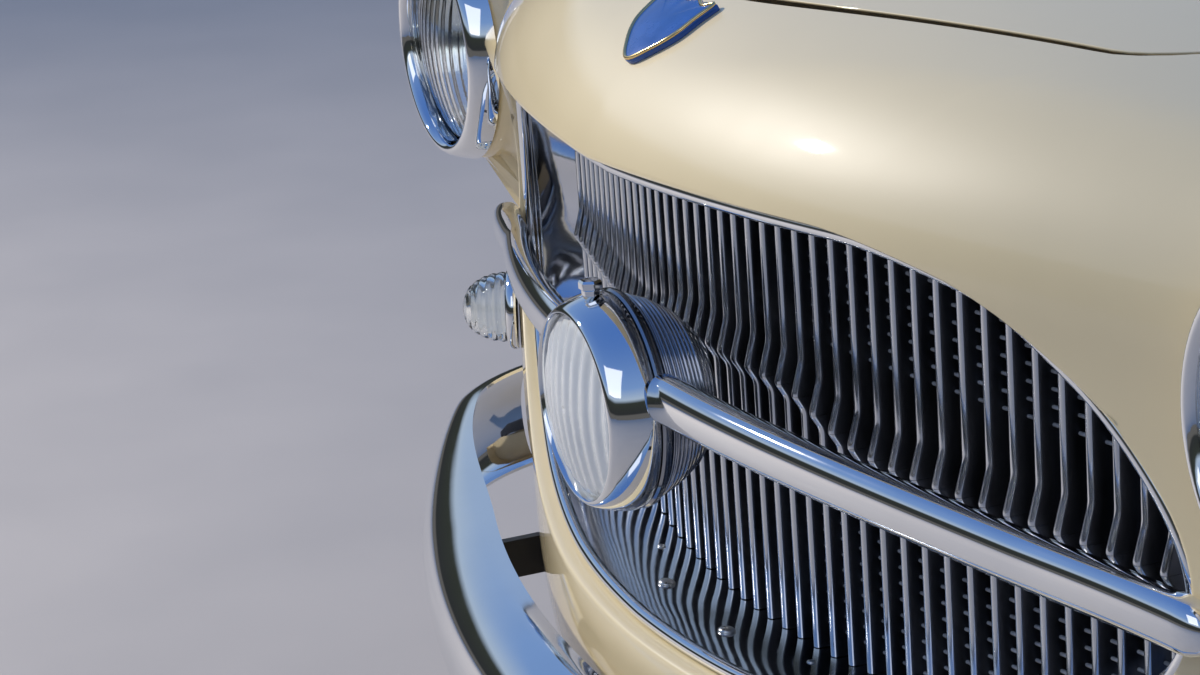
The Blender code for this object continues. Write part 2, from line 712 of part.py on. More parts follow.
# Centre lamp, each profile as (radius, distance behind the lens's edge)
C_L = (0.0, LAMP_Y, LAMP_Z)
LAMP_SIDES = 22
CLAMP_Y = 0.012            # clamp screw behind the lens's edge
CLAMP_SINK = 0.0004
LAMP_LENS = [
    (0, -0.012), (0.020, -0.0108), (0.040, -0.007), (0.054, -0.0025), (LAMP_LENS_R, 0.001),
    (LAMP_LENS_R, 0.004), (0.053, 0.0005), (0.040, -0.003), (0.020, -0.0068), (0, -0.008),
]
LAMP_RIM = [
    (0.0614, -0.001), (0.0632, -0.006), (0.0660, -0.004), (0.0700, 0.006), (LAMP_RIM_R, 0.018),
    (LAMP_RIM_R, 0.0260), (0.0680, 0.0260), (0.0614, 0.0180),
]
LAMP_SHELL = [
    (0.0690, 0.0264), (0.0710, 0.029), (0.0680, 0.040), (0.0630, 0.052), (0.0540, 0.066),
    (0.0410, 0.078), (0.0250, 0.085), (0, 0.088),
    (0, 0.086), (0.0240, 0.083), (0.0398, 0.0763), (0.0525, 0.0645), (0.0612, 0.051),
    (0.0660, 0.0395), (0.0665, 0.0264),
]
CLAMP_SCREW = [(0, 0.0), (0.006, 0.0), (0.006, 0.004), (0.0085, 0.004), (0.0085, 0.009), (0.005, 0.012), (0, 0.012)]


def centre_lamp():
    node("lamp_lens", *lathe(LAMP_LENS, C_L, LAMP_SIDES), "lens")
    node("lamp_rim", *lathe(LAMP_RIM, C_L, LAMP_SIDES), "chrome")
    node("lamp_shell", *lathe(LAMP_SHELL, C_L, LAMP_SIDES), "chrome")
    top = (0.0, LAMP_Y + CLAMP_Y, LAMP_Z + LAMP_RIM_R - CLAMP_SINK)
    node("lamp_clamp_screw", *lathe(CLAMP_SCREW, top, 12, "Z"), "chrome")


centre_lamp()

# Headlamps, each profile as (share of the lens radius, distance behind the pod's front edge)
LENS_PROFILE = [
    (0, -0.026), (0.35, -0.024), (0.70, -0.0185), (0.907, -0.012), (1, -0.0065),
    (1, -0.0035), (0.895, -0.009), (0.70, -0.015), (0.35, -0.0202), (0, -0.022),
]
RIM_PROFILE = [
    (1.006, -0.010), (1.029, -0.019), (1.081, -0.023), (1.145, -0.019), (1.198, -0.010),
    (1.220, -0.0006), (1.081, -0.0006), (1.081, -0.003), (1.006, -0.003),
]
BOWL_PROFILE = [
    (1.006, -0.0026), (1.006, 0.026), (0.930, 0.052), (0.640, 0.076), (0.233, 0.089), (0, 0.091),
    (0, 0.089), (0.221, 0.087), (0.622, 0.0744), (0.909, 0.0508), (0.983, 0.026), (0.884, -0.0026),
]
HEADLAMP = [
    ("part", "profile", "sides", "look"),
    ("lens", LENS_PROFILE, 22, "lens"),
    ("rim", RIM_PROFILE, 22, "chrome"),
    ("bowl", BOWL_PROFILE, 20, "black"),
]


def headlamp(side, tag):
    for part, profile, sides, look in HEADLAMP[1:]:
        sized = [(r * HEAD_R, a) for r, a in profile]
        node("headlamp_" + part + "_" + tag, *lathe(sized, (side * HEAD_X, POD_Y, HEAD_Z), sides), look)


# Side lamps on the front of the wings, each profile as (radius, height over the skin)
SIDE_BASE = [
    (0, 0.0006), (0.036, 0.0006), (0.0365, 0.006), (0.0335, 0.010),
    (0.0305, 0.010), (0.0305, 0.008), (0, 0.008),
]
SIDE_GLASS = [
    (0, 0.0084), (0.0300, 0.0084), (0.0300, 0.014), (0.0285, 0.026), (0.0230, 0.038),
    (0.0120, 0.0460), (0, 0.0485),
]


def side_lamp(side, tag):
    """A lamp square to the skin: the profile's axis runs outward along the skin's normal."""
    foot = project([(SIDE_X, 0.05, SIDE_Z)], (0, 1, 0))[0]
    axis = normals(foot[None])[0]
    across = np.cross((0, 0, 1.0), axis)
    across /= np.linalg.norm(across)
    turn = np.stack([across, axis, np.cross(axis, across)], 1)
    flip = np.diag([side, 1, 1])
    v, f = lathe(SIDE_BASE, (0, 0, 0), 16, "Y", turn)
    node("side_lamp_base_" + tag, (v + foot) @ flip, f, "chrome")
    v, f = lathe(SIDE_GLASS, (0, 0, 0), 16, "Y", turn)
    node("side_lamp_lens_" + tag, (v + foot) @ flip, f, "lens")


for side, tag in ((1, "left"), (-1, "right")):
    headlamp(side, tag)
    side_lamp(side, tag)

# Bumper blade on two irons
def bumper_plan(count):
    """Plan line of the blade's front face, from the right end to the left end."""
    pts = []
    for a in np.linspace(-1.0, 1.0, count):
        ang = a * math.radians(90)
        d = np.array([math.sin(ang), -math.cos(ang)])
        lo, hi = 0.0, 1.2
        for _ in range(40):
            mid = (lo + hi) / 2
            x, y = d * mid + np.array([0, 0.10])
            edge_f = (BUMPER_Y + BUMPER_BOW * x * x - y) / math.sqrt(1 + (2 * BUMPER_BOW * x) ** 2)
            edge_s = abs(x) - (BUMPER_HALF + 0.040)
            if float(both(np.array(edge_f), np.array(edge_s), 0.09)) > 0:
                hi = mid
            else:
                lo = mid
        pts.append(d * lo + np.array([0, 0.10]))
    return spaced([(p[0], p[1], 0.0) for p in pts], count)


BLADE = [
    ("out", "up"),
    (-0.058, 0.0500),
    (-0.040, 0.0480),
    (-0.022, 0.0410),
    (-0.008, 0.0280),
    (-0.001, 0.0110),
    (0.000, -0.0060),
    (-0.003, -0.0230),
    (-0.010, -0.0380),
    (-0.020, -0.0475),
    (-0.030, -0.0500),
]
BLADE_T = 0.0030
BLADE_TAPER = 0.42          # share of its depth lost by the ends
TAPER_START, TAPER_RUN = 0.35, 0.30


def blade_section():
    """The blade's closed cross-section: its outer line and the same line one sheet further in."""
    outside = BLADE[1:]
    lean = np.gradient(np.array(outside), axis=0)
    lean /= np.linalg.norm(lean, axis=1, keepdims=True)
    inside = [(a + BLADE_T * d[1], b - BLADE_T * d[0]) for (a, b), d in zip(outside, lean)]
    return outside + inside[::-1]


def bumper_blade():
    path = bumper_plan(23)
    path[:, 2] = BUMPER_Z
    frames = []
    for k in range(len(path)):
        t = path[min(k + 1, len(path) - 1)] - path[max(k - 1, 0)]
        t /= np.linalg.norm(t)
        near_end = np.clip((abs(path[k][0]) - TAPER_START) / TAPER_RUN, 0, 1)
        depth = 1 - BLADE_TAPER * near_end * near_end * (3 - 2 * near_end)
        frames.append((np.array([t[1], -t[0], 0.0]) * depth, np.array([0, 0, 1.0])))
    node("bumper_blade", *sweep(path, blade_section(), frames), "chrome")


IRON_X, IRON_T = 0.375, 0.008
IRON_SEAT = 0.0074         # iron's front end behind the blade's plan line
IRON_BACK = 0.0295         # its rear end, at the chassis leg
IRON_LOW, IRON_HIGH = 0.018, 0.013
SLOT_OUT, SLOT_LOW, SLOT_HIGH = 0.012, 0.038, 0.033
SLOT_FRONT, SLOT_BACK = -0.2, 0.08


def bumper_iron(side, tag):
    """A flat iron from the blade through a slot in the nose to the chassis leg."""
    x = side * IRON_X
    front = BUMPER_Y + BUMPER_BOW * IRON_X**2 + IRON_SEAT
    low, high = BUMPER_Z - IRON_LOW, BUMPER_Z + IRON_HIGH
    node("bumper_iron_" + tag, *box(x - IRON_T / 2, x + IRON_T / 2, front, IRON_BACK, low, high), "black", False)
    low, high = BUMPER_Z - SLOT_LOW, BUMPER_Z + SLOT_HIGH
    slot = cutter("iron_slot_" + tag, *box(x - SLOT_OUT, x + SLOT_OUT, SLOT_FRONT, SLOT_BACK, low, high))
    boolean(bpy.data.objects["nose_panel"], slot)


bumper_blade()
for side, tag in ((1, "left"), (-1, "right")):
    bumper_iron(side, tag)

# Badge plate, left bare
SHIELD = [
    ("x", "along"),
    (0.000, 0.000),
    (0.016, 0.012),
    (0.027, 0.028),
    (0.030, 0.046),
    (0.031, 0.064),
    (0.022, 0.059),
    (0.010, 0.064),
    (0.000, 0.060),
    (-0.010, 0.064),
    (-0.022, 0.059),
    (-0.031, 0.064),
    (-0.030, 0.046),
    (-0.027, 0.028),
    (-0.016, 0.012),
]
BADGE_Y = -0.058
BADGE_LONG = 0.75          # plan length as a share of the table's
BADGE_MID = 0.034
BADGE_SEAT = 0.0006
BADGE_THICK, BADGE_EDGE = 0.0040, 0.0028


def badge_plate():
    centre = np.array([0.0, BADGE_Y + BADGE_LONG * BADGE_MID, 0.27])
    flat = np.array([(x, BADGE_Y + BADGE_LONG * a, 0.27) for x, a in SHIELD[1:]])
    levels = [project(centre + (flat - centre) * t, (0, 0, 1)) for t in (0.25, 0.5, 0.75, 1.0)]
    levels = [p + normals(p) * BADGE_SEAT for p in levels]
    mid = project(centre[None], (0, 0, 1))
    low = np.vstack([mid + normals(mid) * BADGE_SEAT] + levels)
    high = np.vstack([mid + normals(mid) * BADGE_THICK] + [p + normals(p) * BADGE_EDGE for p in levels])
    k, count = len(flat), len(low)
    faces = []
    for i in range(k):
        j = (i + 1) % k
        faces += [[0, 1 + j, 1 + i], [count, count + 1 + i, count + 1 + j]]
        for r in range(3):
            a, b = 1 + r * k, 1 + (r + 1) * k
            faces.append([a + i, a + j, b + j, b + i])
            faces.append([count + a + j, count + a + i, count + b + i, count + b + j])
        a = 1 + 3 * k
        faces.append([a + i, a + j, count + a + j, count + a + i])
    node("badge_plate", np.vstack([low, high]), faces, "enamel", False)


badge_plate()

# Structure: bulkhead, chassis legs, cross member and radiator
BULK_N = 25
BULK_SEAT = 0.0005         # clearance under the scuttle
WING_EDGE_X, WING_EDGE_RUN, WING_EDGE_DROP = 0.46, 0.05, 0.0075
LEG_X = BULKHEAD_W / 3
LEG_W, LEG_H = 0.060, 0.075
LEG = [
    ("y", "z"),
    (0.030, -0.200),
    (0.150, -0.200),
    (0.420, -0.245),
    (0.620, -0.300),
    (0.780, -0.335),
    (0.980, -0.335),
]
CROSS_Y0, CROSS_Y1 = 0.085, 0.205
CROSS_LOW, CROSS_HIGH = -0.300, -0.2405
CORE_HALF, TANK_HALF = 0.215, 0.225
CORE_Y0, CORE_Y1 = 0.125, 0.170
TANK_Y0, TANK_Y1 = 0.118, 0.180
CORE_LOW, CORE_HIGH = -0.2000, 0.160
TANK_LOW, TANK_HIGH = -0.2400, 0.205
TANK_SEAT = 0.0003


def bulkhead():
    xs = np.linspace(-BULKHEAD_W / 2, BULKHEAD_W / 2, BULK_N)
    front, rear = BULKHEAD_Y - BULKHEAD_T, BULKHEAD_Y
    tops = [project([(x, y, 0.33) for x in xs], (0, 0, 1))[:, 2] for y in (front, rear)]
    tops = np.minimum(*tops) - (SHEET + BULK_SEAT)
    tops -= WING_EDGE_DROP * np.clip((np.abs(xs) - WING_EDGE_X) / WING_EDGE_RUN, 0, 1)
    low = BULKHEAD_Z - BULKHEAD_H / 2
    verts = []
    for y in (front, rear):
        verts += [(x, y, low) for x in xs] + [(x, y, z) for x, z in zip(xs, tops)]
    n = BULK_N
    faces = []
    for i in range(n - 1):
        a, b, c, d = i, i + 1, n + i + 1, n + i
        faces += [[a, b, c, d], [2 * n + d, 2 * n + c, 2 * n + b, 2 * n + a]]
        faces += [[a, 2 * n + a, 2 * n + b, b], [d, c, 2 * n + c, 2 * n + d]]
    faces += [[0, n, 3 * n, 2 * n], [n - 1, 3 * n - 1, 4 * n - 1, 2 * n - 1]]
    node("bulkhead", verts, faces, "primer", False)


def chassis_leg(side, tag):
    path = [(side * LEG_X, y, z) for y, z in LEG[1:]]
    w, h = LEG_W / 2, LEG_H / 2
    section = [(-w, -h), (w, -h), (w, h), (-w, h)]
    node("chassis_leg_" + tag, *sweep(path, section, [((1, 0, 0), (0, 0, 1))] * len(path)), "black", False)


def front_cross_member():
    half = LEG_X - LEG_W / 2 - GAP
    node("front_cross_member", *box(-half, half, CROSS_Y0, CROSS_Y1, CROSS_LOW, CROSS_HIGH), "black", False)


def radiator():
    core = box(-CORE_HALF, CORE_HALF, CORE_Y0, CORE_Y1, CORE_LOW, CORE_HIGH)
    node("radiator_core", *core, "core", False)
    top = box(-TANK_HALF, TANK_HALF, TANK_Y0, TANK_Y1, CORE_HIGH + TANK_SEAT, TANK_HIGH)
    node("radiator_top_tank", *top, "black", False)
    bottom = box(-TANK_HALF, TANK_HALF, TANK_Y0, TANK_Y1, TANK_LOW, CORE_LOW - TANK_SEAT)
    node("radiator_bottom_tank", *bottom, "black", False)


bulkhead()
for side, tag in ((1, "left"), (-1, "right")):
    chassis_leg(side, tag)
front_cross_member()
radiator()

# Flitch plates: upright sheets from the chassis legs up to the wings' edges, beside the bonnet
FLITCH_T = 0.0030
FLITCH_OUT = 0.0090        # from the bonnet's side line out to the plate
FLITCH_SEAT = 0.0004       # clearance over the leg and ahead of the bulkhead
FLITCH_TOP = 0.0012        # clearance under the wing's sheet
FLITCH_START = 0.020       # behind the bonnet's front corner
FLITCH_N = 14


def flitch_plate(side, tag):
    ys = np.linspace(CORNER_Y + FLITCH_START, BULKHEAD_Y - BULKHEAD_T - FLITCH_SEAT, FLITCH_N)
    inner = bonnet_x(ys) + FLITCH_OUT
    outer = inner + FLITCH_T
    bottoms = np.interp(ys, [row[0] for row in LEG[1:]], [row[1] for row in LEG[1:]]) + LEG_H / 2 + FLITCH_SEAT
    above = [project([(x, y, 0.28) for x, y in zip(xs, ys)], (0, 0, 1)) for xs in (inner, outer)]
    tops = np.minimum(above[0][:, 2], above[1][:, 2]) - SHEET - FLITCH_TOP
    verts = []
    for a, b, y, low, high in zip(inner, outer, ys, bottoms, tops):
        verts += [(side * a, y, low), (side * b, y, low), (side * b, y, high), (side * a, y, high)]
    last = 4 * (FLITCH_N - 1)
    ends = [[3, 2, 1, 0], [last, last + 1, last + 2, last + 3]]
    node("flitch_plate_" + tag, verts, grid_faces(FLITCH_N, 4, wrap=True) + ends, "primer", False)


for side, tag in ((1, "left"), (-1, "right")):
    flitch_plate(side, tag)

# Slam panel behind the bonnet's front shut line, and the scuttle behind its rear edge
SLAM_N = 25
SLAM_IN = 0.012            # from the bonnet's corner in to the panel's end
SLAM_LEAD, SLAM_STEP, SLAM_BACK = 0.020, 0.004, 0.050
SLAM_SEAT = 0.0018         # clearance under the nose
SLAM_DROP, SLAM_FALL = 0.004, 0.006
SLAM_T = 0.0015
SCUTTLE_GAP, SCUTTLE_N = 0.006, 21
SCUTTLE_IN = 0.001


def slam_panel():
    xs = np.linspace(-TOP_HALF + SLAM_IN, TOP_HALF - SLAM_IN, SLAM_N)
    shut = shut_y(xs)
    front = project([(x, y - SLAM_LEAD, 0.28) for x, y in zip(xs, shut)], (0, 0, 1))
    lead = front - normals(front) * (SHEET + SLAM_SEAT)
    step = np.stack([xs, shut + SLAM_STEP, lead[:, 2] - SLAM_DROP], 1)
    shelf = np.stack([xs, shut + SLAM_BACK, lead[:, 2] - SLAM_FALL], 1)
    top = np.stack([lead, step, shelf], 1).reshape(-1, 3)
    count = len(top)
    face = grid_faces(SLAM_N, 3)
    used = {(a, b) for q in face for a, b in zip(q, q[1:] + q[:1])}
    rim = [[b, a, a + count, b + count] for (a, b) in used if (b, a) not in used]
    back = [[i + count for i in q[::-1]] for q in face]
    verts = np.vstack([top, top - np.array([0, 0, SLAM_T])])
    node("slam_panel", verts, face + back + rim, "paint", False)


def scuttle_panel():
    front = BONNET_REAR_Y + SCUTTLE_GAP
    rows = []
    for y in (front, (front + BULKHEAD_Y) / 2, BULKHEAD_Y):
        half = float(bonnet_x(min(y, BONNET_REAR_Y))) - SCUTTLE_IN
        rows += [(x, y, 0.33) for x in np.linspace(-half, half, SCUTTLE_N)]
    verts, faces = thick(project(rows, (0, 0, 1)), grid_faces(3, SCUTTLE_N))
    node("scuttle_panel", verts, faces, "paint")


slam_panel()
scuttle_panel()

# Bonnet hinge arms, turning with the bonnet on pins in the brackets
ARM_T = 0.006
ARM_HALF = 0.006
ARM_END = 0.190
PIN_R = 0.0028
PIN_HOLE_R = 0.00286
PIN_END = 0.004            # how far the pin stands out beside the arm
BRACKET_T, BRACKET_SEAT = 0.006, 0.0004
BRACKET_LOW, BRACKET_END = 0.060, 0.010
ARM = [
    ("back", "up"),
    (0.000, 0.009),
    (0.000, -0.040),
    (-0.030, -0.052),
    (-0.070, -0.045),
]


def arm_line():
    """Middle line of an arm: round the edge of the scuttle, then along under the bonnet."""
    line = [(PIVOT_Y + a, PIVOT_Z + b) for a, b in ARM[1:]]
    for back in (0.105, ARM_END):
        y = PIVOT_Y - back
        under = project([(HINGE_X, y, 0.33)], (0, 0, 1))[0][2] - SHEET - 0.0009
        line.append((y, float(under) - ARM_HALF))
    return np.array(line)


def hinge_arm(side, tag):
    line = arm_line()
    above, below = [], []
    for k in range(len(line)):
        t = line[min(k + 1, len(line) - 1)] - line[max(k - 1, 0)]
        t /= np.linalg.norm(t)
        n2 = np.array([-t[1], t[0]])
        above.append(line[k] + n2 * ARM_HALF)
        below.append(line[k] - n2 * ARM_HALF)
    poly = np.array(above + below[::-1])
    n, m = len(poly), len(line)
    x0, x1 = side * HINGE_X - ARM_T / 2, side * HINGE_X + ARM_T / 2
    verts = [(x0, a, b) for a, b in poly] + [(x1, a, b) for a, b in poly]
    faces = [[i, (i + 1) % n, n + (i + 1) % n, n + i] for i in range(n)]
    for i in range(m - 1):
        q = [i, i + 1, n - 2 - i, n - 1 - i]
        faces += [q, [j + n for j in q[::-1]]]
    arm = node("bonnet_hinge_arm_" + tag, verts, faces, "black", False, PIVOT)
    hole = [(0, -0.02), (PIN_HOLE_R, -0.02), (PIN_HOLE_R, 0.02), (0, 0.02)]
    hv, hf = lathe(hole, (side * HINGE_X, PIVOT_Y, PIVOT_Z), 24, "X")
    boolean(arm, cutter("pin_hole_" + tag, hv, hf))


def hinge_bracket(side, tag):
    """A plate on the bulkhead outside the arm, with the pin the arm turns on."""
    bx = side * (HINGE_X + ARM_T / 2 + PIN_END)
    rear = BULKHEAD_Y - BULKHEAD_T - BRACKET_SEAT
    low, high = PIVOT_Z - BRACKET_LOW, PIVOT_Z + BRACKET_END
    plate = box(bx - BRACKET_T / 2, bx + BRACKET_T / 2, PIVOT_Y - BRACKET_END, rear, low, high)
    bracket = node("bonnet_hinge_bracket_" + tag, *plate, "black", False)
    reach = sorted((bx, side * (HINGE_X - ARM_T / 2 - PIN_END)))
    pin = [(0, reach[0]), (PIN_R, reach[0]), (PIN_R, reach[1]), (0, reach[1])]
    pv, pf = lathe(pin, (0.0, PIVOT_Y, PIVOT_Z), 24, "X")
    boolean(bracket, cutter("hinge_pin_" + tag, pv, pf), "UNION")


for side, tag in ((1, "left"), (-1, "right")):
    hinge_arm(side, tag)
    hinge_bracket(side, tag)
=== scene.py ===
# Looks of the 1950s saloon's front end: fine body skin, polished grille, fluted lamps and chrome.
# Metres. Worked in the grille's own frame, then moved to the middle of the bulkhead's rear face.
import json
import math

import bmesh
import bpy
import numpy as np
from mathutils import Matrix

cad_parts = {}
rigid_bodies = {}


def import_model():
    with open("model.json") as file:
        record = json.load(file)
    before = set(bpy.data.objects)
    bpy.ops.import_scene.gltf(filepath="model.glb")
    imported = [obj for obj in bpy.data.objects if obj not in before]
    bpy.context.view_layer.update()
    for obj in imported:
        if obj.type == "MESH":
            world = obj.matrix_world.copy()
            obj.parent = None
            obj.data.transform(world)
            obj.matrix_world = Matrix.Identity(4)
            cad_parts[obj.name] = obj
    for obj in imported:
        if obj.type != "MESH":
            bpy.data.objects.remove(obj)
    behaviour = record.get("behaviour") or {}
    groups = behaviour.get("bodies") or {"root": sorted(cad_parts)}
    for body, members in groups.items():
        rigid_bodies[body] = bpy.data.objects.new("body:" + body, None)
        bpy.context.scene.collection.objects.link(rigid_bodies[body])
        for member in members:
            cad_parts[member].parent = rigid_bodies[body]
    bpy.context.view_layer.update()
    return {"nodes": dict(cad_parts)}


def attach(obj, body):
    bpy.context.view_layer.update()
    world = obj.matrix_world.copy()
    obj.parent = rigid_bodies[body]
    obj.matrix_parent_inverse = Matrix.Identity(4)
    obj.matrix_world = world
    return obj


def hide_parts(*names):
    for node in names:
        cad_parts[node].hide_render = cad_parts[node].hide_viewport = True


for item in list(bpy.data.objects):
    bpy.data.objects.remove(item)
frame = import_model()

ORIGIN = np.array([0.0, 0.98, 0.013])
HALF_WIDTH = 0.729
NOSE_Y = -0.09
BOW2, BOW4 = 0.609, -0.534
TRIM_Y, TRIM_R = -0.075, 0.005
OPEN_HALF, FIN_HALF = 0.495, 0.464
FIN_BOW2, FIN_BOW4 = 0.4426, -0.602
FIN_PITCH, FIN_W, FIN_D, FINS_SIDE = 0.0213, 0.007, 0.022, 21
BAR_Y, BAR_Z, BAR_BOW2, BAR_BOW4 = -0.082, 0.058, 0.557, -0.433
BAR_START, BAR_END, BAR_H, BAR_D = 0.0728, 0.528, 0.032, 0.024
BAR_LIFT, BAR_RISE, BAR_LAND, BAR_LAND_RUN = 0.0064, 0.005, 0.1, 0.105
LAMP_Y, LAMP_Z, LAMP_LENS_R, LAMP_RIM_R = -0.108, 0.038, 0.061, 0.073
HEAD_X, HEAD_Z, HEAD_R, POD_R, POD_Y, HOLE_R = 0.62, 0.161, 0.08, 0.098, 0.035, 0.0885
SIDE_X, SIDE_Z = 0.615, -0.072
TOP_HALF, BONNET_REAR_Y, REAR_Y = 0.375, 0.915, 0.96
SKIRT_Z, WHEEL_Y, WHEEL_Z, ARCH_R = -0.33, 0.46, -0.3, 0.34
SEAM, SKIN_SHEET, LID_SHEET = 0.003, 0.0016, 0.0018
BUMPER_Y, BUMPER_Z, BUMPER_BOW, BUMPER_HALF = -0.168, -0.2, 0.4, 0.7
BADGE_Y, BADGE_WIDEN, BADGE_LONG, BADGE_PROUD = -0.058, 1.22, 0.75, 0.002
GROUND_Z = -0.6

# Wires threaded through the fins, and the height of each
WIRE_R, WIRE_BACK, WIRE_PITCH, WIRE_CLEAR, WIRE_STEPS = 0.0012, 0.01, 0.0106, 0.006, 50
FIN_WIRES_UPPER = [0.088 + WIRE_PITCH * k for k in range(9)]
FIN_WIRES_LOWER = [-0.009 - WIRE_PITCH * k for k in range(10)]

# Screws in the pan: share of the way back, place across and radius
PAN_SCREWS = [
    (0.38, 0.045, 0.006),
    (0.38, -0.045, 0.006),
    (0.72, 0.125, 0.003),
    (0.72, -0.125, 0.003),
    (0.72, 0.29, 0.003),
    (0.72, -0.29, 0.003),
]
SCREW_HEAD = [(0, -0.0002), (1.0, -0.0002), (1.0, 0.35), (0.75, 0.75), (0.35, 0.95), (0, 1.0)]
SCREW_FLAT = 0.55

# Opening outline: angle share from the end (0) to the middle (1), upper height and lower height
OUTLINE = [
    (0.00, 0.035, 0.035),
    (0.2, 0.097, -0.018),
    (0.353, 0.146, -0.05),
    (0.506, 0.184, -0.08),
    (0.667, 0.197, -0.101),
    (0.84, 0.196, -0.113),
    (1.00, 0.193, -0.115),
]

# Form of the body's skin: bulge over the grille, tuck below it, dish round the headlamp, sides and crown
BULGE, BULGE_Z, BULGE_HIGH, BULGE_WIDE = 0.016, 0.222, 0.05, 0.42
TUCK, TUCK_Z = 1.3, -0.16
DISH, DISH_OUT, DISH_SPREAD = 0.03, 0.01, 0.018
SIDE_DRAW, SIDE_START, SIDE_RUN = 0.045, 0.07, 0.24
UPPER_LEAN, UPPER_Z, LOWER_LEAN, LOWER_Z = 0.3, -0.02, 0.1, -0.05
CROWN_Z, CROWN_Y, CROWN_RISE, CROWN_BOW = 0.332, 0.1, 0.045, 0.226
BROW, BROW_START, BROW_RUN = 0.075, 0.065, 0.075
WING_RISE, WING_TOP_X, WING_TOP_WIDE = 0.04, 0.625, 0.07
CORNER_ROUND, TOP_ROUND, TOP_ROUND_MORE, TOP_ROUND_RUN = 0.11, 0.045, 0.05, 0.6
POD_ROUND, POD_FILLET = 0.008, 0.022

# Lines between the panels
SEAM_X, SEAM_STEP, SEAM_TURN_Z, SEAM_TURN_HIGH = 0.54, 0.125, 0.11, 0.05
SEAM_TOP_Z, SEAM_ARC_RISE = 0.2, 0.02
SHUT_Y, SHUT_BOW, SHUT_POWER, HOOK, HOOK_X = -0.002, 0.52, 1.6, 0.026, 0.335
BONNET_WIDENS, BONNET_POWER, BONNET_GAP, SCUTTLE_INSET = 0.12, 0.8, 0.006, 0.001
DOOR_Y = 0.98

# Rolled lip round the opening
LIP_GROW, LIP_END_GROW, LIP_END_BACK, LIP_MID_Z = 0.009, 0.0056, 0.002, 0.04
LIP_BACK, LIP_LEAD, LIP_POINTS, LIP_ROLL_ROWS = 0.006, 0.004, 960, 9

# Places from which points are moved onto the skin
SHOULDER_FROM_Z, SHUT_FROM_Z, WING_FROM_Z, BONNET_FROM_Z, SCUTTLE_FROM_Z = 0.27, 0.3, 0.29, 0.32, 0.33
WING_FROM_X, WING_CORNER_Y, SIDE_FROM_Y = 0.7, 0.118, 0.05
WING_MID_X, WING_MID_Z, WING_REACH_X, WING_REACH_Z = 0.533, 0.04, 0.22, 0.24
LEAST_SLOPE, LONGEST_MOVE, CLOSE_ENOUGH, TINY = 0.02, 0.03, 1e-8, 1e-12

# Rows and columns of the panels, and how their rows crowd toward the inner edge
SEAM_STEPS, SKIRT_STEPS, SHUT_STEPS, NOSE_ROWS, NOSE_CROWD = 56, 40, 34, 30, 1.2
WING_STEPS, WING_BOTTOM_STEPS, POD_ROWS, POD_CROWD = 56, 44, 22, 1.25
ARCH_STEPS, DOOR_STEPS = 44, 10
BONNET_COLS, BONNET_ROWS, SCUTTLE_ROWS = 81, 61, 8
POD_EDGE = [(0.004, 0.001), (0.001, 0.003), (0.0, 0.01)]

# Pan, fins, rails and bar
TRIM_STEPS, PAN_STEPS, PAN_ROWS = 480, 240, 9
PAN_SAG, PAN_SAG_Z, PAN_SAG_RUN = 0.01, 0.04, 0.1
PAN_GAP, PAN_BACK, PAN_CLOSE, PAN_SHEET = 0.0002, 0.012, 0.002, 0.0014
RIDGE_Z, RIDGE_RISE, RIDGE_RUN, RIDGE_HIGH = 0.052, 0.024, 0.06, 0.0225
FIN_BEND, FIN_NOSE, FIN_FLARE, FIN_SPLIT_Z = 0.0035, 0.14, 0.52, 0.035
FIN_TOP_OVER, FIN_FOOT, FILLET_STEPS, FILLET_LIMIT = 0.0015, 0.0008, 5, 0.45
START_FORWARD, START_DROP = -0.003, 0.01
CREST_UPPER = [(-0.006, 0.002), (-0.0058, 0.0001)]
CREST_LOWER = [(-0.0058, -0.0001), (-0.005, -0.002), (0.0, -0.01)]
RAILS_UPPER = [(0.11, 0.4415), (0.15, 0.36)]
RAILS_LOWER = [(0.01, 0.43), (-0.03, 0.43), (-0.075, 0.36)]
RAIL_SECTION = [(0, -0.005), (0.006, -0.005), (0.006, 0.005), (0, 0.005)]
RAIL_IN, RAIL_STEPS = 0.003, 60
UPRIGHT = ((0, 1, 0), (0, 0, 1))
BAR_STEPS, BAR_POINTS, BAR_SQUARE, BAR_SAG = 70, 28, 0.85, 0.118
BAR_DOME, BAR_DOME_RUN, BAR_TIP = 0.96, 0.04, 0.1

# Lamps: profiles of (radius, along) from the centre of each glass
GLASS_RINGS, GLASS_POINTS, FLUTE_FADE = 34, 128, 0.1
LAMP_BOWL = [
    (0.0595, 0.006), (0.056, 0.02), (0.048, 0.032), (0.034, 0.042), (0.018, 0.047),
    (0.0, 0.0485),
]
LAMP_BACK = [
    (0.0, 0.0495), (0.0184, 0.048), (0.0347, 0.043), (0.049, 0.033), (0.0572, 0.021),
    (0.0605, 0.0062),
]
LAMP_RIM = [
    (0.0608, -0.001), (0.0612, -0.0045), (0.0622, -0.0062), (0.0636, -0.006), (0.0652, -0.0045),
    (0.0672, -0.001), (0.0694, 0.0045), (0.0712, 0.0105), (0.0724, 0.0165), (LAMP_RIM_R, 0.0215),
    (0.0728, 0.0245), (0.0718, 0.0258), (0.069, 0.026), (0.064, 0.026), (0.0608, 0.018),
]
LAMP_RING = [
    (0.068, 0.0264), (0.0716, 0.0268), (0.0728, 0.0284), (0.073, 0.0306), (0.0722, 0.0326),
    (0.0706, 0.0336), (0.068, 0.0338),
]
SHELL_Y = [0.034, 0.04, 0.052, 0.066, 0.078, 0.085, 0.088]
SHELL_R = [0.0694, 0.068, 0.063, 0.054, 0.041, 0.025, 0.001]
SHELL_START, SHELL_END, SHELL_ROWS, RIB_PITCH, RIB_DEPTH = 0.0346, 0.085, 200, 0.0036, 0.0016
SHELL_TIP = [(0.012, 0.0868), (0.0, 0.0876)]
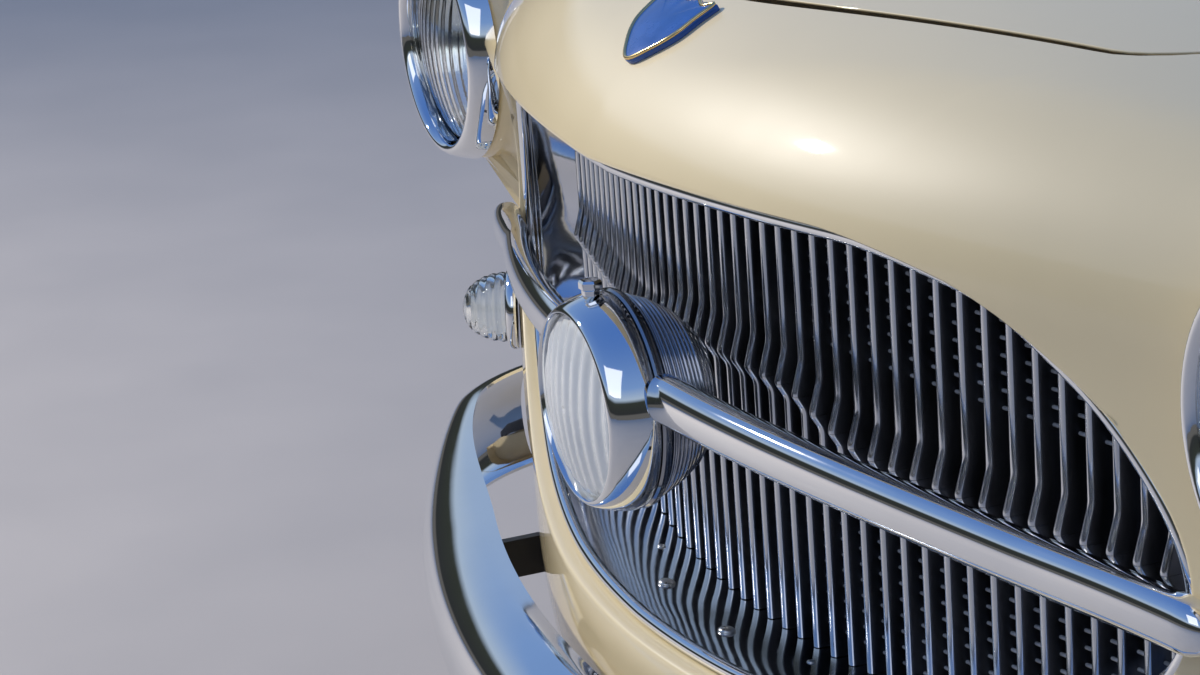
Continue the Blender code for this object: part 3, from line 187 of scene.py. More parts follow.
SHELL_INSIDE = [
    (0.0, 0.086), (0.024, 0.083), (0.039, 0.0763), (0.051, 0.0645), (0.06, 0.051), (0.0645, 0.0395),
    (0.0655, 0.0342),
]
CLAMP_HEAD = [
    (0, 0.0), (0.0062, 0.0), (0.0062, 0.0042), (0.008, 0.0046), (0.008, 0.009), (0.0066, 0.0105),
    (0, 0.0112),
]
CLAMP_BACK, GLASS_INSET, HEAD_GLASS_OUT = 0.012, 0.0004, 0.007
HEAD_TABLE_R = 0.086  # lens radius for which the two headlamp profiles are written
HEAD_BOWL = [
    (0, 0.066), (0.02, 0.064), (0.048, 0.052), (0.07, 0.03), (0.083, -0.0025), (0.0842, -0.0023),
    (0.0712, 0.031), (0.0488, 0.0532), (0.0204, 0.0652), (0, 0.0672),
]
HEAD_RIM = [
    (0.0868, -0.01), (0.0874, -0.015), (0.0885, -0.0195), (0.0905, -0.0225), (0.093, -0.0235),
    (0.0958, -0.0222), (0.0985, -0.0185), (0.101, -0.0132), (0.1032, -0.007), (0.1048, -0.0006),
    (0.093, -0.0006), (0.093, -0.003), (0.0868, -0.003),
]
SIDE_BASE = [
    (0, 0.0006), (0.036, 0.0006), (0.0367, 0.0025), (0.0364, 0.0055), (0.0345, 0.009), (0.032, 0.0102),
    (0.0305, 0.01), (0.0305, 0.008), (0, 0.008),
]
SIDE_INSIDE = [(0.0, 0.044), (0.01, 0.0422), (0.019, 0.0345), (0.025, 0.021), (0.0272, 0.0084)]
DOME_R, DOME_FOOT, DOME_START, DOME_HIGH, DOME_BLUNT = 0.0302, 0.0084, 0.0105, 0.038, 0.85
DOME_STEPS, DOME_RIBS, DOME_RIB_DEPTH, DOME_TIP_R = 90, 7, 0.0012, 0.0004

# Bumper blade: its section, and the closed curve that it follows in the plan view
BLADE = [
    (-0.058, 0.05), (-0.04, 0.048), (-0.022, 0.041), (-0.008, 0.028), (-0.001, 0.011),
    (0.000, -0.006), (-0.003, -0.023), (-0.01, -0.038), (-0.02, -0.0475), (-0.03, -0.05),
]
BLADE_SHEET, BLADE_STEPS, BLADE_EASE = 0.0028, 5, 0.42
BLADE_EASE_X, BLADE_EASE_RUN = 0.35, 0.3
BUMPER_STEPS, BUMPER_END, BUMPER_ROUND, BUMPER_HUB_Y, BUMPER_FAR = 181, 0.04, 0.09, 0.1, 1.2

# Badge plate: its outline, and the share outward and rise of each ring
SHIELD = [
    (0.000, 0.000), (0.016, 0.012), (0.027, 0.028), (0.03, 0.046), (0.031, 0.064), (0.022, 0.059),
    (0.01, 0.064), (0.000, 0.06), (-0.01, 0.064), (-0.022, 0.059), (-0.031, 0.064), (-0.03, 0.046),
    (-0.027, 0.028), (-0.016, 0.012),
]
BADGE_RINGS = [
    (0.03, 0.0036), (0.25, 0.0035), (0.5, 0.0033), (0.75, 0.003), (0.92, 0.0026), (0.98, 0.0022),
    (1.0, 0.0012), (1.0, 0.0002),
]
BADGE_FROM_Z, BADGE_MID, BADGE_STEPS, BADGE_FOOT = 0.27, 0.034, 6, 0.001
BADGE_EDGE, BADGE_EDGE_RISE, BADGE_EDGE_R = 0.955, 0.0026, 0.0013

# Materials: the noise's range, its detail, the relief's depth and the clear coat
NOISE_LOW, NOISE_HIGH, GRAIN_DETAIL, RELIEF_DETAIL = 0.3, 0.7, 4.0, 2.0
RELIEF_DEPTH, COAT_ROUGH, BEVEL_FROM = 0.0005, 0.03, 50

# Sky: share of the way up from straight below, and colour
SKY_LOW, SKY_HIGH, SKY_STRENGTH = (0.3, 0.29, 0.28), (0.14, 0.33, 0.9), 0.55
SKY_STOPS = [
    (0.495, (0.2, 0.195, 0.19)),
    (0.505, (0.05, 0.055, 0.06)),
    (0.6, (0.06, 0.07, 0.06)),
    (0.63, (0.72, 0.9, 1.15)),
    (0.72, (0.34, 0.58, 1.1)),
]
FLOOR_SIZE, FLOOR_COLOUR = 14, (0.45, 0.41, 0.37)

# Camera: its place, its right, up and viewing directions, and its lens
PLACE = (1.7952, -1.7452, 0.6342)
RIGHT, UP, LOOK = (0.36983, 0.92638, -0.07104), (-0.23826, 0.16847, 0.95648), (-0.89803, 0.33681, -0.28302)
SENSOR_MM, LENS_MM = 36, 92.88


# Materials
def add(tree, kind, **values):
    new = tree.nodes.new(kind)
    for key, value in values.items():
        setattr(new, key, value)
    return new


def noise(tree, scale, detail, stretch):
    """Noise in the piece's own coordinates, stretched along its grain."""
    coord = add(tree, "ShaderNodeTexCoord")
    place = add(tree, "ShaderNodeMapping")
    place.inputs["Scale"].default_value = stretch
    tree.links.new(coord.outputs["Object"], place.inputs["Vector"])
    out = add(tree, "ShaderNodeTexNoise")
    out.inputs["Scale"].default_value = scale
    out.inputs["Detail"].default_value = detail
    tree.links.new(place.outputs["Vector"], out.inputs["Vector"])
    return out.outputs["Fac"]


def spread(tree, fac, low, high):
    """Noise mapped to a range of values."""
    out = add(tree, "ShaderNodeMapRange")
    out.inputs["From Min"].default_value = NOISE_LOW
    out.inputs["From Max"].default_value = NOISE_HIGH
    out.inputs["To Min"].default_value = low
    out.inputs["To Max"].default_value = high
    tree.links.new(fac, out.inputs["Value"])
    return out.outputs["Result"]


def shaded(colour, share):
    return (*[min(1.0, c * (1 + share)) for c in colour], 1.0)


def look(name, colour, metal=0.0, rough=(0.3, 0.4), scale=20.0, stretch=(1, 1, 1), shade=0.0, coat=0.0,
         bump=0.0, bump_scale=600.0, glass=0.0, ior=1.5, bump_stretch=None):
    mat = bpy.data.materials.new(name)
    mat.use_nodes = True
    tree = mat.node_tree
    bsdf = tree.nodes["Principled BSDF"]
    bsdf.inputs["Base Color"].default_value = (*colour, 1.0)
    bsdf.inputs["Metallic"].default_value = metal
    bsdf.inputs["IOR"].default_value = ior
    bsdf.inputs["Coat Weight"].default_value = coat
    bsdf.inputs["Coat Roughness"].default_value = COAT_ROUGH
    bsdf.inputs["Transmission Weight"].default_value = glass
    fac = noise(tree, scale, GRAIN_DETAIL, stretch)
    tree.links.new(spread(tree, fac, *rough), bsdf.inputs["Roughness"])
    if shade > 0:
        mix = add(tree, "ShaderNodeMix", data_type="RGBA")
        mix.inputs["A"].default_value = shaded(colour, -shade)
        mix.inputs["B"].default_value = shaded(colour, shade)
        tree.links.new(spread(tree, fac, 0.0, 1.0), mix.inputs["Factor"])
        tree.links.new(mix.outputs["Result"], bsdf.inputs["Base Color"])
    if bump > 0:
        relief = add(tree, "ShaderNodeBump")
        relief.inputs["Strength"].default_value = bump
        relief.inputs["Distance"].default_value = RELIEF_DEPTH
        height = noise(tree, bump_scale, RELIEF_DETAIL, bump_stretch or stretch)
        tree.links.new(height, relief.inputs["Height"])
        tree.links.new(relief.outputs["Normal"], bsdf.inputs["Normal"])
    mat.diffuse_color = (*colour, 1.0)
    return mat


PAINT = look("cream_paint", (0.76, 0.63, 0.38), rough=(0.42, 0.5), scale=6, shade=0.02, coat=1.0,
             bump=0.03, bump_scale=350)
CHROME = look("polished_chrome", (0.86, 0.87, 0.88), 1.0, (0.025, 0.07), 18, shade=0.02,
              bump=0.015, bump_scale=90)
FIN_METAL = look("fin_aluminium", (0.62, 0.64, 0.67), 1.0, (0.1, 0.24), 40, (1, 1, 0.08), shade=0.06,
                 bump=0.1, bump_scale=260, bump_stretch=(1, 1, 0.05))
# Painted shade: the fins' sides and backs are the same aluminium as their fronts, coloured near-black to
# darken the gaps between the fins
FIN_GAP_PAINTED_SHADE = look("fin_gap_painted_shade", (0.09, 0.095, 0.11), 1.0, (0.3, 0.42), 60, (1, 1, 0.2), shade=0.3)
PAN_METAL = look("pan_aluminium", (0.74, 0.76, 0.8), 1.0, (0.05, 0.13), 14, (0.4, 1, 1), shade=0.04,
                 bump=0.05, bump_scale=120)
SHELL_METAL = look("dark_chrome", (0.34, 0.35, 0.38), 1.0, (0.06, 0.12), 30, shade=0.05)
CLEAR = look("lamp_glass", (0.96, 0.985, 0.97), rough=(0.01, 0.03), scale=30, glass=1.0, ior=1.45)
PRESSED = look("pressed_glass", (0.93, 0.95, 0.95), rough=(0.1, 0.16), scale=30, coat=1.0,
               glass=0.3, ior=1.45)
MIRROR = look("reflector", (0.9, 0.91, 0.9), 1.0, (0.1, 0.18), 30)
BLACK = look("black_enamel", (0.014, 0.014, 0.015), rough=(0.28, 0.45), scale=12, shade=0.2,
             bump=0.08, bump_scale=300)
CORE = look("radiator_core", (0.02, 0.021, 0.022), 0.3, (0.45, 0.6), 200, (1, 1, 6), shade=0.5,
            bump=0.8, bump_scale=420)
PRIMER = look("inner_paint", (0.6, 0.5, 0.32), rough=(0.4, 0.55), scale=8, shade=0.06,
              bump=0.05, bump_scale=200)
ENAMEL = look("blue_enamel", (0.01, 0.085, 0.34), rough=(0.22, 0.3), scale=60, shade=0.12, coat=0.3)
GOLD = look("gilt_edge", (0.8, 0.6, 0.28), 1.0, (0.12, 0.22), 60, shade=0.05)
WIRE = look("fin_wire", (0.5, 0.51, 0.53), 0.3, (0.3, 0.45), 90, shade=0.3)
STEEL = look("screw_steel", (0.55, 0.55, 0.54), 1.0, (0.25, 0.35), 120, shade=0.1)


# Meshes
def piece(name, verts, faces, mat, nodes=(), body="clip", bevel=0.0, angle=38.0):
    """A detailed piece that rides on a body and stands for the CAD nodes named."""
    mesh = bpy.data.meshes.new(name)
    mesh.from_pydata((np.asarray(verts, float) - ORIGIN).tolist(), [], [list(map(int, f)) for f in faces])
    mesh.update()
    work = bmesh.new()
    work.from_mesh(mesh)
    bmesh.ops.recalc_face_normals(work, faces=work.faces)
    work.to_mesh(mesh)
    work.free()
    mesh.shade_smooth()
    mesh.set_sharp_from_angle(angle=math.radians(angle))
    mesh.materials.append(mat)
    obj = bpy.data.objects.new(name, mesh)
    bpy.context.scene.collection.objects.link(obj)
    if bevel > 0:
        mod = obj.modifiers.new("edge", "BEVEL")
        mod.width = bevel
        mod.segments = 2
        mod.limit_method = "ANGLE"
        mod.angle_limit = math.radians(BEVEL_FROM)
        mod.harden_normals = True
    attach(obj, body)
    if nodes:
        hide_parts(*nodes)
    return obj


def both(a, b, r):
    return np.minimum(np.maximum(a, b), -r) + np.hypot(np.maximum(a + r, 0), np.maximum(b + r, 0))


def either(a, b, r):
    return np.maximum(np.minimum(a, b), r) - np.hypot(np.maximum(r - a, 0), np.maximum(r - b, 0))


def skin(p):
    """Negative inside the body, zero on its outer face."""
    x, y, z = np.abs(p[..., 0]), p[..., 1], p[..., 2]
    bulge = BULGE * np.exp(-(((z - BULGE_Z) / BULGE_HIGH) ** 2)) * np.exp(-((x / BULGE_WIDE) ** 4))
    tuck = TUCK * np.maximum(TUCK_Z - z, 0) ** 2
    dish = DISH * np.exp(-((x - HEAD_X - DISH_OUT) ** 2 + (z - HEAD_Z) ** 2) / DISH_SPREAD)
    front = NOSE_Y + BOW2 * x**2 + BOW4 * x**4 - bulge + tuck + dish - y
    front = front / np.sqrt(1 + (2 * BOW2 * x + 4 * BOW4 * x**3) ** 2)
    side = x - HALF_WIDTH + SIDE_DRAW * np.exp(-(y + SIDE_START) / SIDE_RUN)
    side = side + UPPER_LEAN * np.maximum(z - UPPER_Z, 0) ** 2 + LOWER_LEAN * np.maximum(LOWER_Z - z, 0) ** 2
    brow = BROW * np.exp(-(y + BROW_START) / BROW_RUN)
    crown = CROWN_Z + CROWN_RISE * (y - CROWN_Y) - brow - CROWN_BOW * x**2
    top = z - crown - WING_RISE * np.exp(-(((x - WING_TOP_X) / WING_TOP_WIDE) ** 2))
    body = both(front, side, CORNER_ROUND)
    body = both(body, top, TOP_ROUND + TOP_ROUND_MORE * np.clip(x / TOP_ROUND_RUN, 0, 1))
    pod = both(np.hypot(x - HEAD_X, z - HEAD_Z) - POD_R, POD_Y - y, POD_ROUND)
    return either(body, pod, POD_FILLET)


def slope(p):
    step = 1e-5
    out = np.zeros(p.shape)
    for k in range(3):
        d = np.zeros(3)
        d[k] = step
        out[..., k] = (skin(p + d) - skin(p - d)) / (2 * step)
    return out


def project(p, axes=(1, 1, 1), rounds=40):
    """Points moved onto the skin along the free axes."""
    p = np.array(p, float)
    mask = np.array(axes, float)
    for _ in range(rounds):
        g = slope(p) * mask
        steep = np.maximum((g**2).sum(-1), LEAST_SLOPE)
        move = skin(p)[..., None] * g / steep[..., None]
        size = np.maximum(np.linalg.norm(move, axis=-1, keepdims=True), TINY)
        p = p - move * np.minimum(1, LONGEST_MOVE / size)
        if size.max() < CLOSE_ENOUGH:
            break
    return p


def normals(p):
    g = slope(p)
    return g / np.linalg.norm(g, axis=-1, keepdims=True)


def grid_faces(rows, cols, wrap=False):
    out = []
    for i in range(rows - 1):
        for j in range(cols if wrap else cols - 1):
            k = (j + 1) % cols
            out.append([i * cols + j, i * cols + k, (i + 1) * cols + k, (i + 1) * cols + j])
    return out


def thick(verts, faces, depth, away=None):
    """A closed sheet from its outer face."""
    verts = np.asarray(verts, float)
    away = normals(verts) if away is None else away
    count = len(verts)
    used = {(a, b) for face in faces for a, b in zip(face, face[1:] + face[:1])}
    rim = [[b, a, a + count, b + count] for (a, b) in used if (b, a) not in used]
    back = [[v + count for v in reversed(face)] for face in faces]
    return np.vstack([verts, verts - depth * away]), faces + back + rim


def smooth_curve(keys, values, at):
    keys, values, at = np.asarray(keys, float), np.asarray(values, float), np.asarray(at, float)
    h = np.diff(keys)
    d = np.diff(values) / h
    m = np.zeros(len(keys))
    m[0], m[-1] = d[0], d[-1]
    for i in range(1, len(keys) - 1):
        if d[i - 1] * d[i] > 0:
            w1, w2 = 2 * h[i] + h[i - 1], h[i] + 2 * h[i - 1]
            m[i] = (w1 + w2) / (w1 / d[i - 1] + w2 / d[i])
    i = np.clip(np.searchsorted(keys, at) - 1, 0, len(keys) - 2)
    t = (at - keys[i]) / h[i]
    left = (1 + 2 * t) * (1 - t) ** 2 * values[i] + t * (1 - t) ** 2 * h[i] * m[i]
    return left + t * t * (3 - 2 * t) * values[i + 1] + t * t * (t - 1) * h[i] * m[i + 1]


def outline(count, grow=0.0):
    """The opening's outline in the front view, grown outward."""
    share = [row[0] for row in OUTLINE]
    t = np.linspace(0, 1, count // 4 + 1)
    u = np.cos(t * math.pi / 2)
    up = smooth_curve(share, [row[1] for row in OUTLINE], t)
    down = smooth_curve(share, [row[2] for row in OUTLINE], t)
    pts = [(OPEN_HALF * a, b) for a, b in zip(u, up)]
    pts += [(-OPEN_HALF * a, b) for a, b in zip(u[-2::-1], up[-2::-1])]
    pts += [(-OPEN_HALF * a, b) for a, b in zip(u[1:], down[1:])]
    pts += [(OPEN_HALF * a, b) for a, b in zip(u[-2:0:-1], down[-2:0:-1])]
    p = np.array(pts)
    step = np.roll(p, -1, 0) - np.roll(p, 1, 0)
    n = np.stack([step[:, 1], -step[:, 0]], 1)
    return p + n / np.linalg.norm(n, axis=1, keepdims=True) * grow


def trim_line(x):
    return TRIM_Y + BOW2 * x**2 + BOW4 * x**4


def fin_line(x):
    return FIN_BOW2 * x**2 + FIN_BOW4 * x**4


def seam_x(z):
    turn = np.tanh((np.asarray(z, float) - SEAM_TURN_Z) / SEAM_TURN_HIGH)
    return SEAM_X - SEAM_STEP * 0.5 * (1 + turn)


def shut_y(x):
    """The bonnet's front shut line."""
    x = np.abs(np.asarray(x, float))
    return SHUT_Y + SHUT_BOW * x**SHUT_POWER + HOOK * (np.maximum(x - HOOK_X, 0) / (TOP_HALF - HOOK_X)) ** 2


CORNER_Y = float(shut_y(TOP_HALF))


def bonnet_x(y):
    share = np.clip((np.asarray(y, float) - CORNER_Y) / (BONNET_REAR_Y - CORNER_Y), 0, 1)
    return TOP_HALF + BONNET_WIDENS * share**BONNET_POWER


def spaced(curve, count):
    """The same curve with its points evenly spaced."""
    curve = np.asarray(curve, float)
    run = np.concatenate([[0], np.cumsum(np.linalg.norm(np.diff(curve, axis=0), axis=1))])
    return np.stack([np.interp(np.linspace(0, run[-1], count), run, curve[:, k]) for k in range(3)], 1)


def seam_line(count):
    """The seam between nose and wing, from the skirt up to the bonnet's front corner."""
    corner = project([(TOP_HALF, CORNER_Y, SHOULDER_FROM_Z)], (0, 0, 1))[0]
    zs = np.linspace(SKIRT_Z, corner[2], 240)
    low = project([(float(seam_x(z)), 0.0, z) for z in zs[zs < SEAM_TOP_Z]], (0, 1, 0))
    last = low[-1]
    arc = []
    for t in np.linspace(0, 1, 60)[1:-1]:
        rise = np.array([0, 0.0, SEAM_ARC_RISE * math.sin(math.pi * t)])
        arc.append(last + (corner - last) * t + rise)
    whole = spaced(np.vstack([low, project(arc, (0, 1, 1)), [corner]]), count)
    whole[1:-1] = project(whole[1:-1], (0, 1, 1))
    whole[0] = project(whole[0], (0, 1, 0))
    whole[-1] = project(whole[-1], (0, 0, 1))
    return whole


def lathe(profile, centre, count=64, axis="Y", turn=None):
    """A round body from a (radius, along) profile; the ends close on the axis or on each other."""
    turns = [2 * math.pi * k / count for k in range(count)]
    verts, rings = [], []
    for r, a in profile:
        if r <= 0:
            rings.append([len(verts)] * count)
            verts.append((0.0, a, 0.0))
        else:
            rings.append(list(range(len(verts), len(verts) + count)))
            verts += [(r * math.cos(t), a, r * math.sin(t)) for t in turns]
    faces = []
    last = len(rings) if profile[0][0] > 0 else len(rings) - 1
    for i in range(last):
        a, b = rings[i], rings[(i + 1) % len(rings)]
        for k in range(count):
            m = (k + 1) % count
            f = [a[k], a[m], b[m], b[k]]
            f = [v for n, v in enumerate(f) if v not in f[:n]]
            if len(f) > 2:
                faces.append(f)
    v = np.array(verts)
    if axis == "Z":
        v = v[:, [0, 2, 1]]
    if turn is not None:
        v = v @ np.array(turn).T
    return v + np.array(centre), faces


def sweep(path, section, frames, closed=False):
    verts = []
    for p, (s, u) in zip(np.asarray(path, float), frames):
        verts += [p + a * np.asarray(s) + b * np.asarray(u) for a, b in section]
    n, m = len(path), len(section)
    faces = grid_faces(n, m, wrap=True)
    if closed:
        faces += [[(n - 1) * m + j, (n - 1) * m + (j + 1) % m, (j + 1) % m, j] for j in range(m)]
    else:
        faces += [list(range(m))[::-1], [(n - 1) * m + j for j in range(m)]]
    return np.array(verts), faces


def joined(parts):
    verts, faces = [], []
    for v, f in parts:
        n = len(verts)
        verts += [tuple(p) for p in v]
        faces += [[i + n for i in face] for face in f]
    return verts, faces


def round_section(radius, count):
    turns = np.linspace(0, 2 * math.pi, count, endpoint=False)
    return [(radius * math.cos(a), radius * math.sin(a)) for a in turns]


def between(a, b, c, d, t):
    """A smooth line from b to c at share t, led by the points before and after."""
    return 0.5 * (2 * b + (c - a) * t + (2 * a - 5 * b + 4 * c - d) * t * t + (3 * b - a - 3 * c + d) * t**3)


def rounded(points, radius):
    """An open line with its inner corners rounded off."""
    pts = [np.array(p, float) for p in points]
    out = [pts[0]]
    for a, b, c in zip(pts[:-2], pts[1:-1], pts[2:]):
        p = b + (a - b) * min(FILLET_LIMIT, radius / np.linalg.norm(a - b))
        q = b + (c - b) * min(FILLET_LIMIT, radius / np.linalg.norm(c - b))
        for t in np.linspace(0, 1, FILLET_STEPS):
            out.append((1 - t) ** 2 * p + 2 * t * (1 - t) * b + t * t * q)
    return np.array(out + [pts[-1]])


# Nose panel with its lip rolled back to the trim
def nose_border():
    """The nose's outer edge: skirt, seams to the wings and the bonnet's front shut line."""
    seam = seam_line(SEAM_STEPS)
    low_x = seam[0][0]
    top_x = seam[-1][0]
    skirt = [(low_x * t, 0.0, SKIRT_Z) for t in np.linspace(0, 1, SKIRT_STEPS)]
    shut = [(top_x * t, float(shut_y(top_x * t)), SHUT_FROM_Z) for t in np.linspace(1, 0, SHUT_STEPS)]
    half = np.vstack([project(skirt, (0, 1, 0)), seam[1:], project(shut, (0, 0, 1))[1:]])
    return np.vstack([half, half[-2:0:-1] * np.array([-1, 1, 1])])


def lip_angles(outer):
    """The angle round the opening of each border point, and of the opening's own points."""
    edge = outline(LIP_POINTS, LIP_GROW)
    angle = np.unwrap(np.arctan2(edge[:, 1] - LIP_MID_Z, edge[:, 0]))
    want = np.arctan2(outer[:, 2] - LIP_MID_Z, outer[:, 0])
    want = np.where(want < angle[0], want + 2 * math.pi, want)
    return want, np.append(angle, angle[0] + 2 * math.pi)


def lip_ring(grow, want, turn, y):
    """The opening's outline, grown outward, with a point at each wanted angle."""
    ring = outline(LIP_POINTS, grow)
    ring = np.vstack([ring, ring[:1]])
    x = np.interp(want, turn, ring[:, 0])
    z = np.interp(want, turn, ring[:, 1])
    return np.stack([x, np.full(len(want), y), z], 1)


def lip_roll(ring, toward, end):
    """Rows of the lip, from its hidden end out to the nose's face."""
    back = np.array([0, LIP_BACK, 0])
    rows = []
    for t in np.linspace(1, 0, LIP_ROLL_ROWS)[:-1]:
        row = (1 - t) ** 3 * ring + 3 * (1 - t) ** 2 * t * (ring + toward * LIP_LEAD)
        rows.append(row + 3 * (1 - t) * t * t * (end - back) + t**3 * end)
    return rows


def lip_normals(roll, ring, outward):
    """Outward directions on the lip, which leaves the body's skin."""
    flat = np.array(roll)
    along = np.gradient(np.concatenate([flat, ring[None]]), axis=0)[:-1]
    around = np.roll(flat, -1, 1) - np.roll(flat, 1, 1)
    n = np.cross(around, along)
    n /= np.linalg.norm(n, axis=-1, keepdims=True)
    sign = np.sign((n[-1] * outward).sum(-1).mean())
    return (n * sign).reshape(-1, 3)


def nose():
    outer = nose_border()
    cols = len(outer)
    want, turn = lip_angles(outer)
    ring = project(lip_ring(LIP_GROW, want, turn, NOSE_Y), (0, 1, 0))
    shares = (np.arange(1, NOSE_ROWS) / NOSE_ROWS) ** NOSE_CROWD
    rest = [project(ring * (1 - t) + outer * t) for t in shares]
    toward = ring - rest[0]
    toward /= np.linalg.norm(toward, axis=1, keepdims=True)
    end = lip_ring(LIP_END_GROW, want, turn, 0.0)
    end[:, 1] = trim_line(end[:, 0]) + LIP_END_BACK
    roll = lip_roll(ring, toward, end)
    rings = roll + [ring] + rest + [outer]
    whole = np.vstack(rings)
    away = normals(whole)
    lip = len(roll) * cols
    away[:lip] = lip_normals(roll, ring, away[lip:lip + cols])
    verts, faces = thick(whole, grid_faces(len(rings), cols, wrap=True), SKIN_SHEET, away)
    piece("nose_skin", verts, faces, PAINT, ["nose_panel"])


# Wings with the headlamp pods and the wheel arches
def wing_bottom(start, end):
    """The wing's lower edge, round the car's front corner."""
    pts = []
    for t in np.linspace(0, 1, WING_BOTTOM_STEPS):
        s, c = math.sin(t * math.pi / 2), math.cos(t * math.pi / 2)
        pts.append((start[0] + (end[0] - start[0]) * s, end[1] + (start[1] - end[1]) * c, SKIRT_Z))
    pts = np.array(pts)
    pts[1:-1] = project(pts[1:-1], (1, 1, 0))
    pts[0], pts[-1] = start, end
    return pts


def wing_section(first, last):
    """A line over the wing from its lower edge up to the bonnet's side."""
    a0 = math.atan2(first[2] - WING_MID_Z, first[0] - WING_MID_X)
    a1 = math.atan2(last[2] - WING_MID_Z, last[0] - WING_MID_X)
    pts = []
    for k in range(1, WING_STEPS - 1):
        t = k / (WING_STEPS - 1)
        ang = a0 + (a1 - a0) * t
        y = first[1] + (last[1] - first[1]) * t
        pts.append((WING_MID_X + WING_REACH_X * math.cos(ang), y, WING_MID_Z + WING_REACH_Z * math.sin(ang)))
    return np.vstack([[first], project(pts, (1, 0, 1), 60), [last]])


def pod_rings(loop):
    """Rings from the headlamp's hole over its pod and out to the wing's front border."""
    ang = np.arctan2(loop[:, 2] - HEAD_Z, loop[:, 0] - HEAD_X)

    def circle(radius, back):
        y = np.full(len(loop), POD_Y + back)
        return np.stack([HEAD_X + radius * np.cos(ang), y, HEAD_Z + radius * np.sin(ang)], 1)

    rings = [project(circle(HOLE_R, 0.0), (0, 1, 0))]
    rings += [project(circle(POD_R - inset, back)) for inset, back in POD_EDGE]
    neck = rings[-1]
    for k in range(1, POD_ROWS):
        t = (k / POD_ROWS) ** POD_CROWD
        rings.append(project(neck * (1 - t) + loop * t))
    return rings + [loop]


def arch_stations(half_arch):
    """Stations along the wing: over the wheel arch, then back to the door."""
    over = [WHEEL_Y - half_arch * math.cos(math.pi * k / ARCH_STEPS) for k in range(ARCH_STEPS + 1)]
    return over + [over[-1] + (REAR_Y - over[-1]) * k / DOOR_STEPS for k in range(1, DOOR_STEPS + 1)]


def wing(side, tag):
    corner = project([(WING_FROM_X, WING_CORNER_Y, SKIRT_Z)], (1, 0, 0))[0]
    seam = seam_line(SEAM_STEPS)
    shoulder = seam[-1]
    bottom = wing_bottom(seam[0], corner)
    border = wing_section(corner, shoulder)
    loop = np.vstack([bottom, border[1:], seam[::-1][1:-1]])
    rings = pod_rings(loop)
    verts = list(np.vstack(rings))
    faces = grid_faces(len(rings), len(loop), wrap=True)
    start = (len(rings) - 1) * len(loop) + len(bottom) - 1
    previous = list(range(start, start + len(border)))
    half_arch = math.sqrt(ARCH_R**2 - (WHEEL_Z - SKIRT_Z) ** 2)
    for y0 in arch_stations(half_arch):
        y1 = shoulder[1] + (REAR_Y - shoulder[1]) * ((y0 - corner[1]) / (REAR_Y - corner[1]))
        reach = abs(y0 - WHEEL_Y)
        z0 = WHEEL_Z + math.sqrt(max(0.0, ARCH_R**2 - reach**2)) if reach < half_arch - 1e-6 else SKIRT_Z
        first = project([(WING_FROM_X, y0, z0)], (1, 0, 0))[0]
        open_by = min(SCUTTLE_INSET + SEAM, 0.15 * (y1 - shoulder[1]))
        last = project([(float(bonnet_x(y1)) + open_by, y1, WING_FROM_Z)], (0, 0, 1))[0]
        row = wing_section(first, last)
        now = list(range(len(verts), len(verts) + len(row)))
        verts += list(row)
        faces += [[previous[j], previous[j + 1], now[j + 1], now[j]] for j in range(len(row) - 1)]
        previous = now
    verts, faces = thick(np.array(verts), faces, SKIN_SHEET)
    piece("wing_skin_" + tag, verts * np.array([side, 1, 1]), faces, PAINT, ["wing_" + tag])


def bonnet():
    rows = []
    for j in range(BONNET_ROWS):
        v = j / (BONNET_ROWS - 1)
        for i in range(BONNET_COLS):
            u = -1 + 2 * i / (BONNET_COLS - 1)
            x = u * (TOP_HALF - SEAM)
            y0 = float(shut_y(x)) + 2 * SEAM
            y = y0 + (BONNET_REAR_Y - y0) * v
            for _ in range(3):
                x = u * (float(bonnet_x(y)) - SEAM)
                if j == 0:
                    y = float(shut_y(x)) + 2 * SEAM
            rows.append((x, y, BONNET_FROM_Z))
    verts, faces = thick(project(rows, (0, 0, 1)), grid_faces(BONNET_ROWS, BONNET_COLS), LID_SHEET)
    piece("bonnet_skin", verts, faces, PAINT, ["bonnet_panel"], "bonnet", bevel=0.0008)


def scuttle():
    rows = []
    for y in np.linspace(BONNET_REAR_Y + BONNET_GAP, DOOR_Y, SCUTTLE_ROWS):
        half_w = float(bonnet_x(min(y, BONNET_REAR_Y))) - SCUTTLE_INSET
        rows += [(x, y, SCUTTLE_FROM_Z) for x in np.linspace(-half_w, half_w, BONNET_COLS)]
    verts, faces = thick(project(rows, (0, 0, 1)), grid_faces(SCUTTLE_ROWS, BONNET_COLS), LID_SHEET)
    piece("scuttle_skin", verts, faces, PAINT, ["scuttle_panel"], bevel=0.0006)


# Grille: bead, pan, fins and bar
def trim():
    path = np.array([(x, float(trim_line(x)), z) for x, z in outline(TRIM_STEPS)])
    frames = []
    for k in range(len(path)):
        t = path[(k + 1) % len(path)] - path[k - 1]
        t /= np.linalg.norm(t)
        up = np.cross(t, (0, 1, 0))
        up /= np.linalg.norm(up)
        frames.append((up, np.cross(up, t)))
    verts, faces = sweep(path, round_section(TRIM_R, 14), frames, True)
    piece("trim_bead", verts, faces, CHROME, ["grille_trim"])


def tray_ring(grow, share):
    """A ring of the pan, from the trim (share 0) back to the fins (share 1)."""
    ease = share * share * (3 - 2 * share)
    out = []
    for x, z in outline(PAN_STEPS, grow):
        rear_x = x * FIN_HALF / OPEN_HALF
        rear_z = z - PAN_SAG * min(1.0, max(0.0, (PAN_SAG_Z - z) / PAN_SAG_RUN))
        front = np.array([x, float(trim_line(x)) + TRIM_R + PAN_GAP, z])
        rear = np.array([rear_x, float(fin_line(rear_x)) + PAN_BACK, rear_z])
        mid = front + (rear - front) * share
        mid[2] = front[2] + (rear[2] - front[2]) * ease
        out.append(mid)
    return out


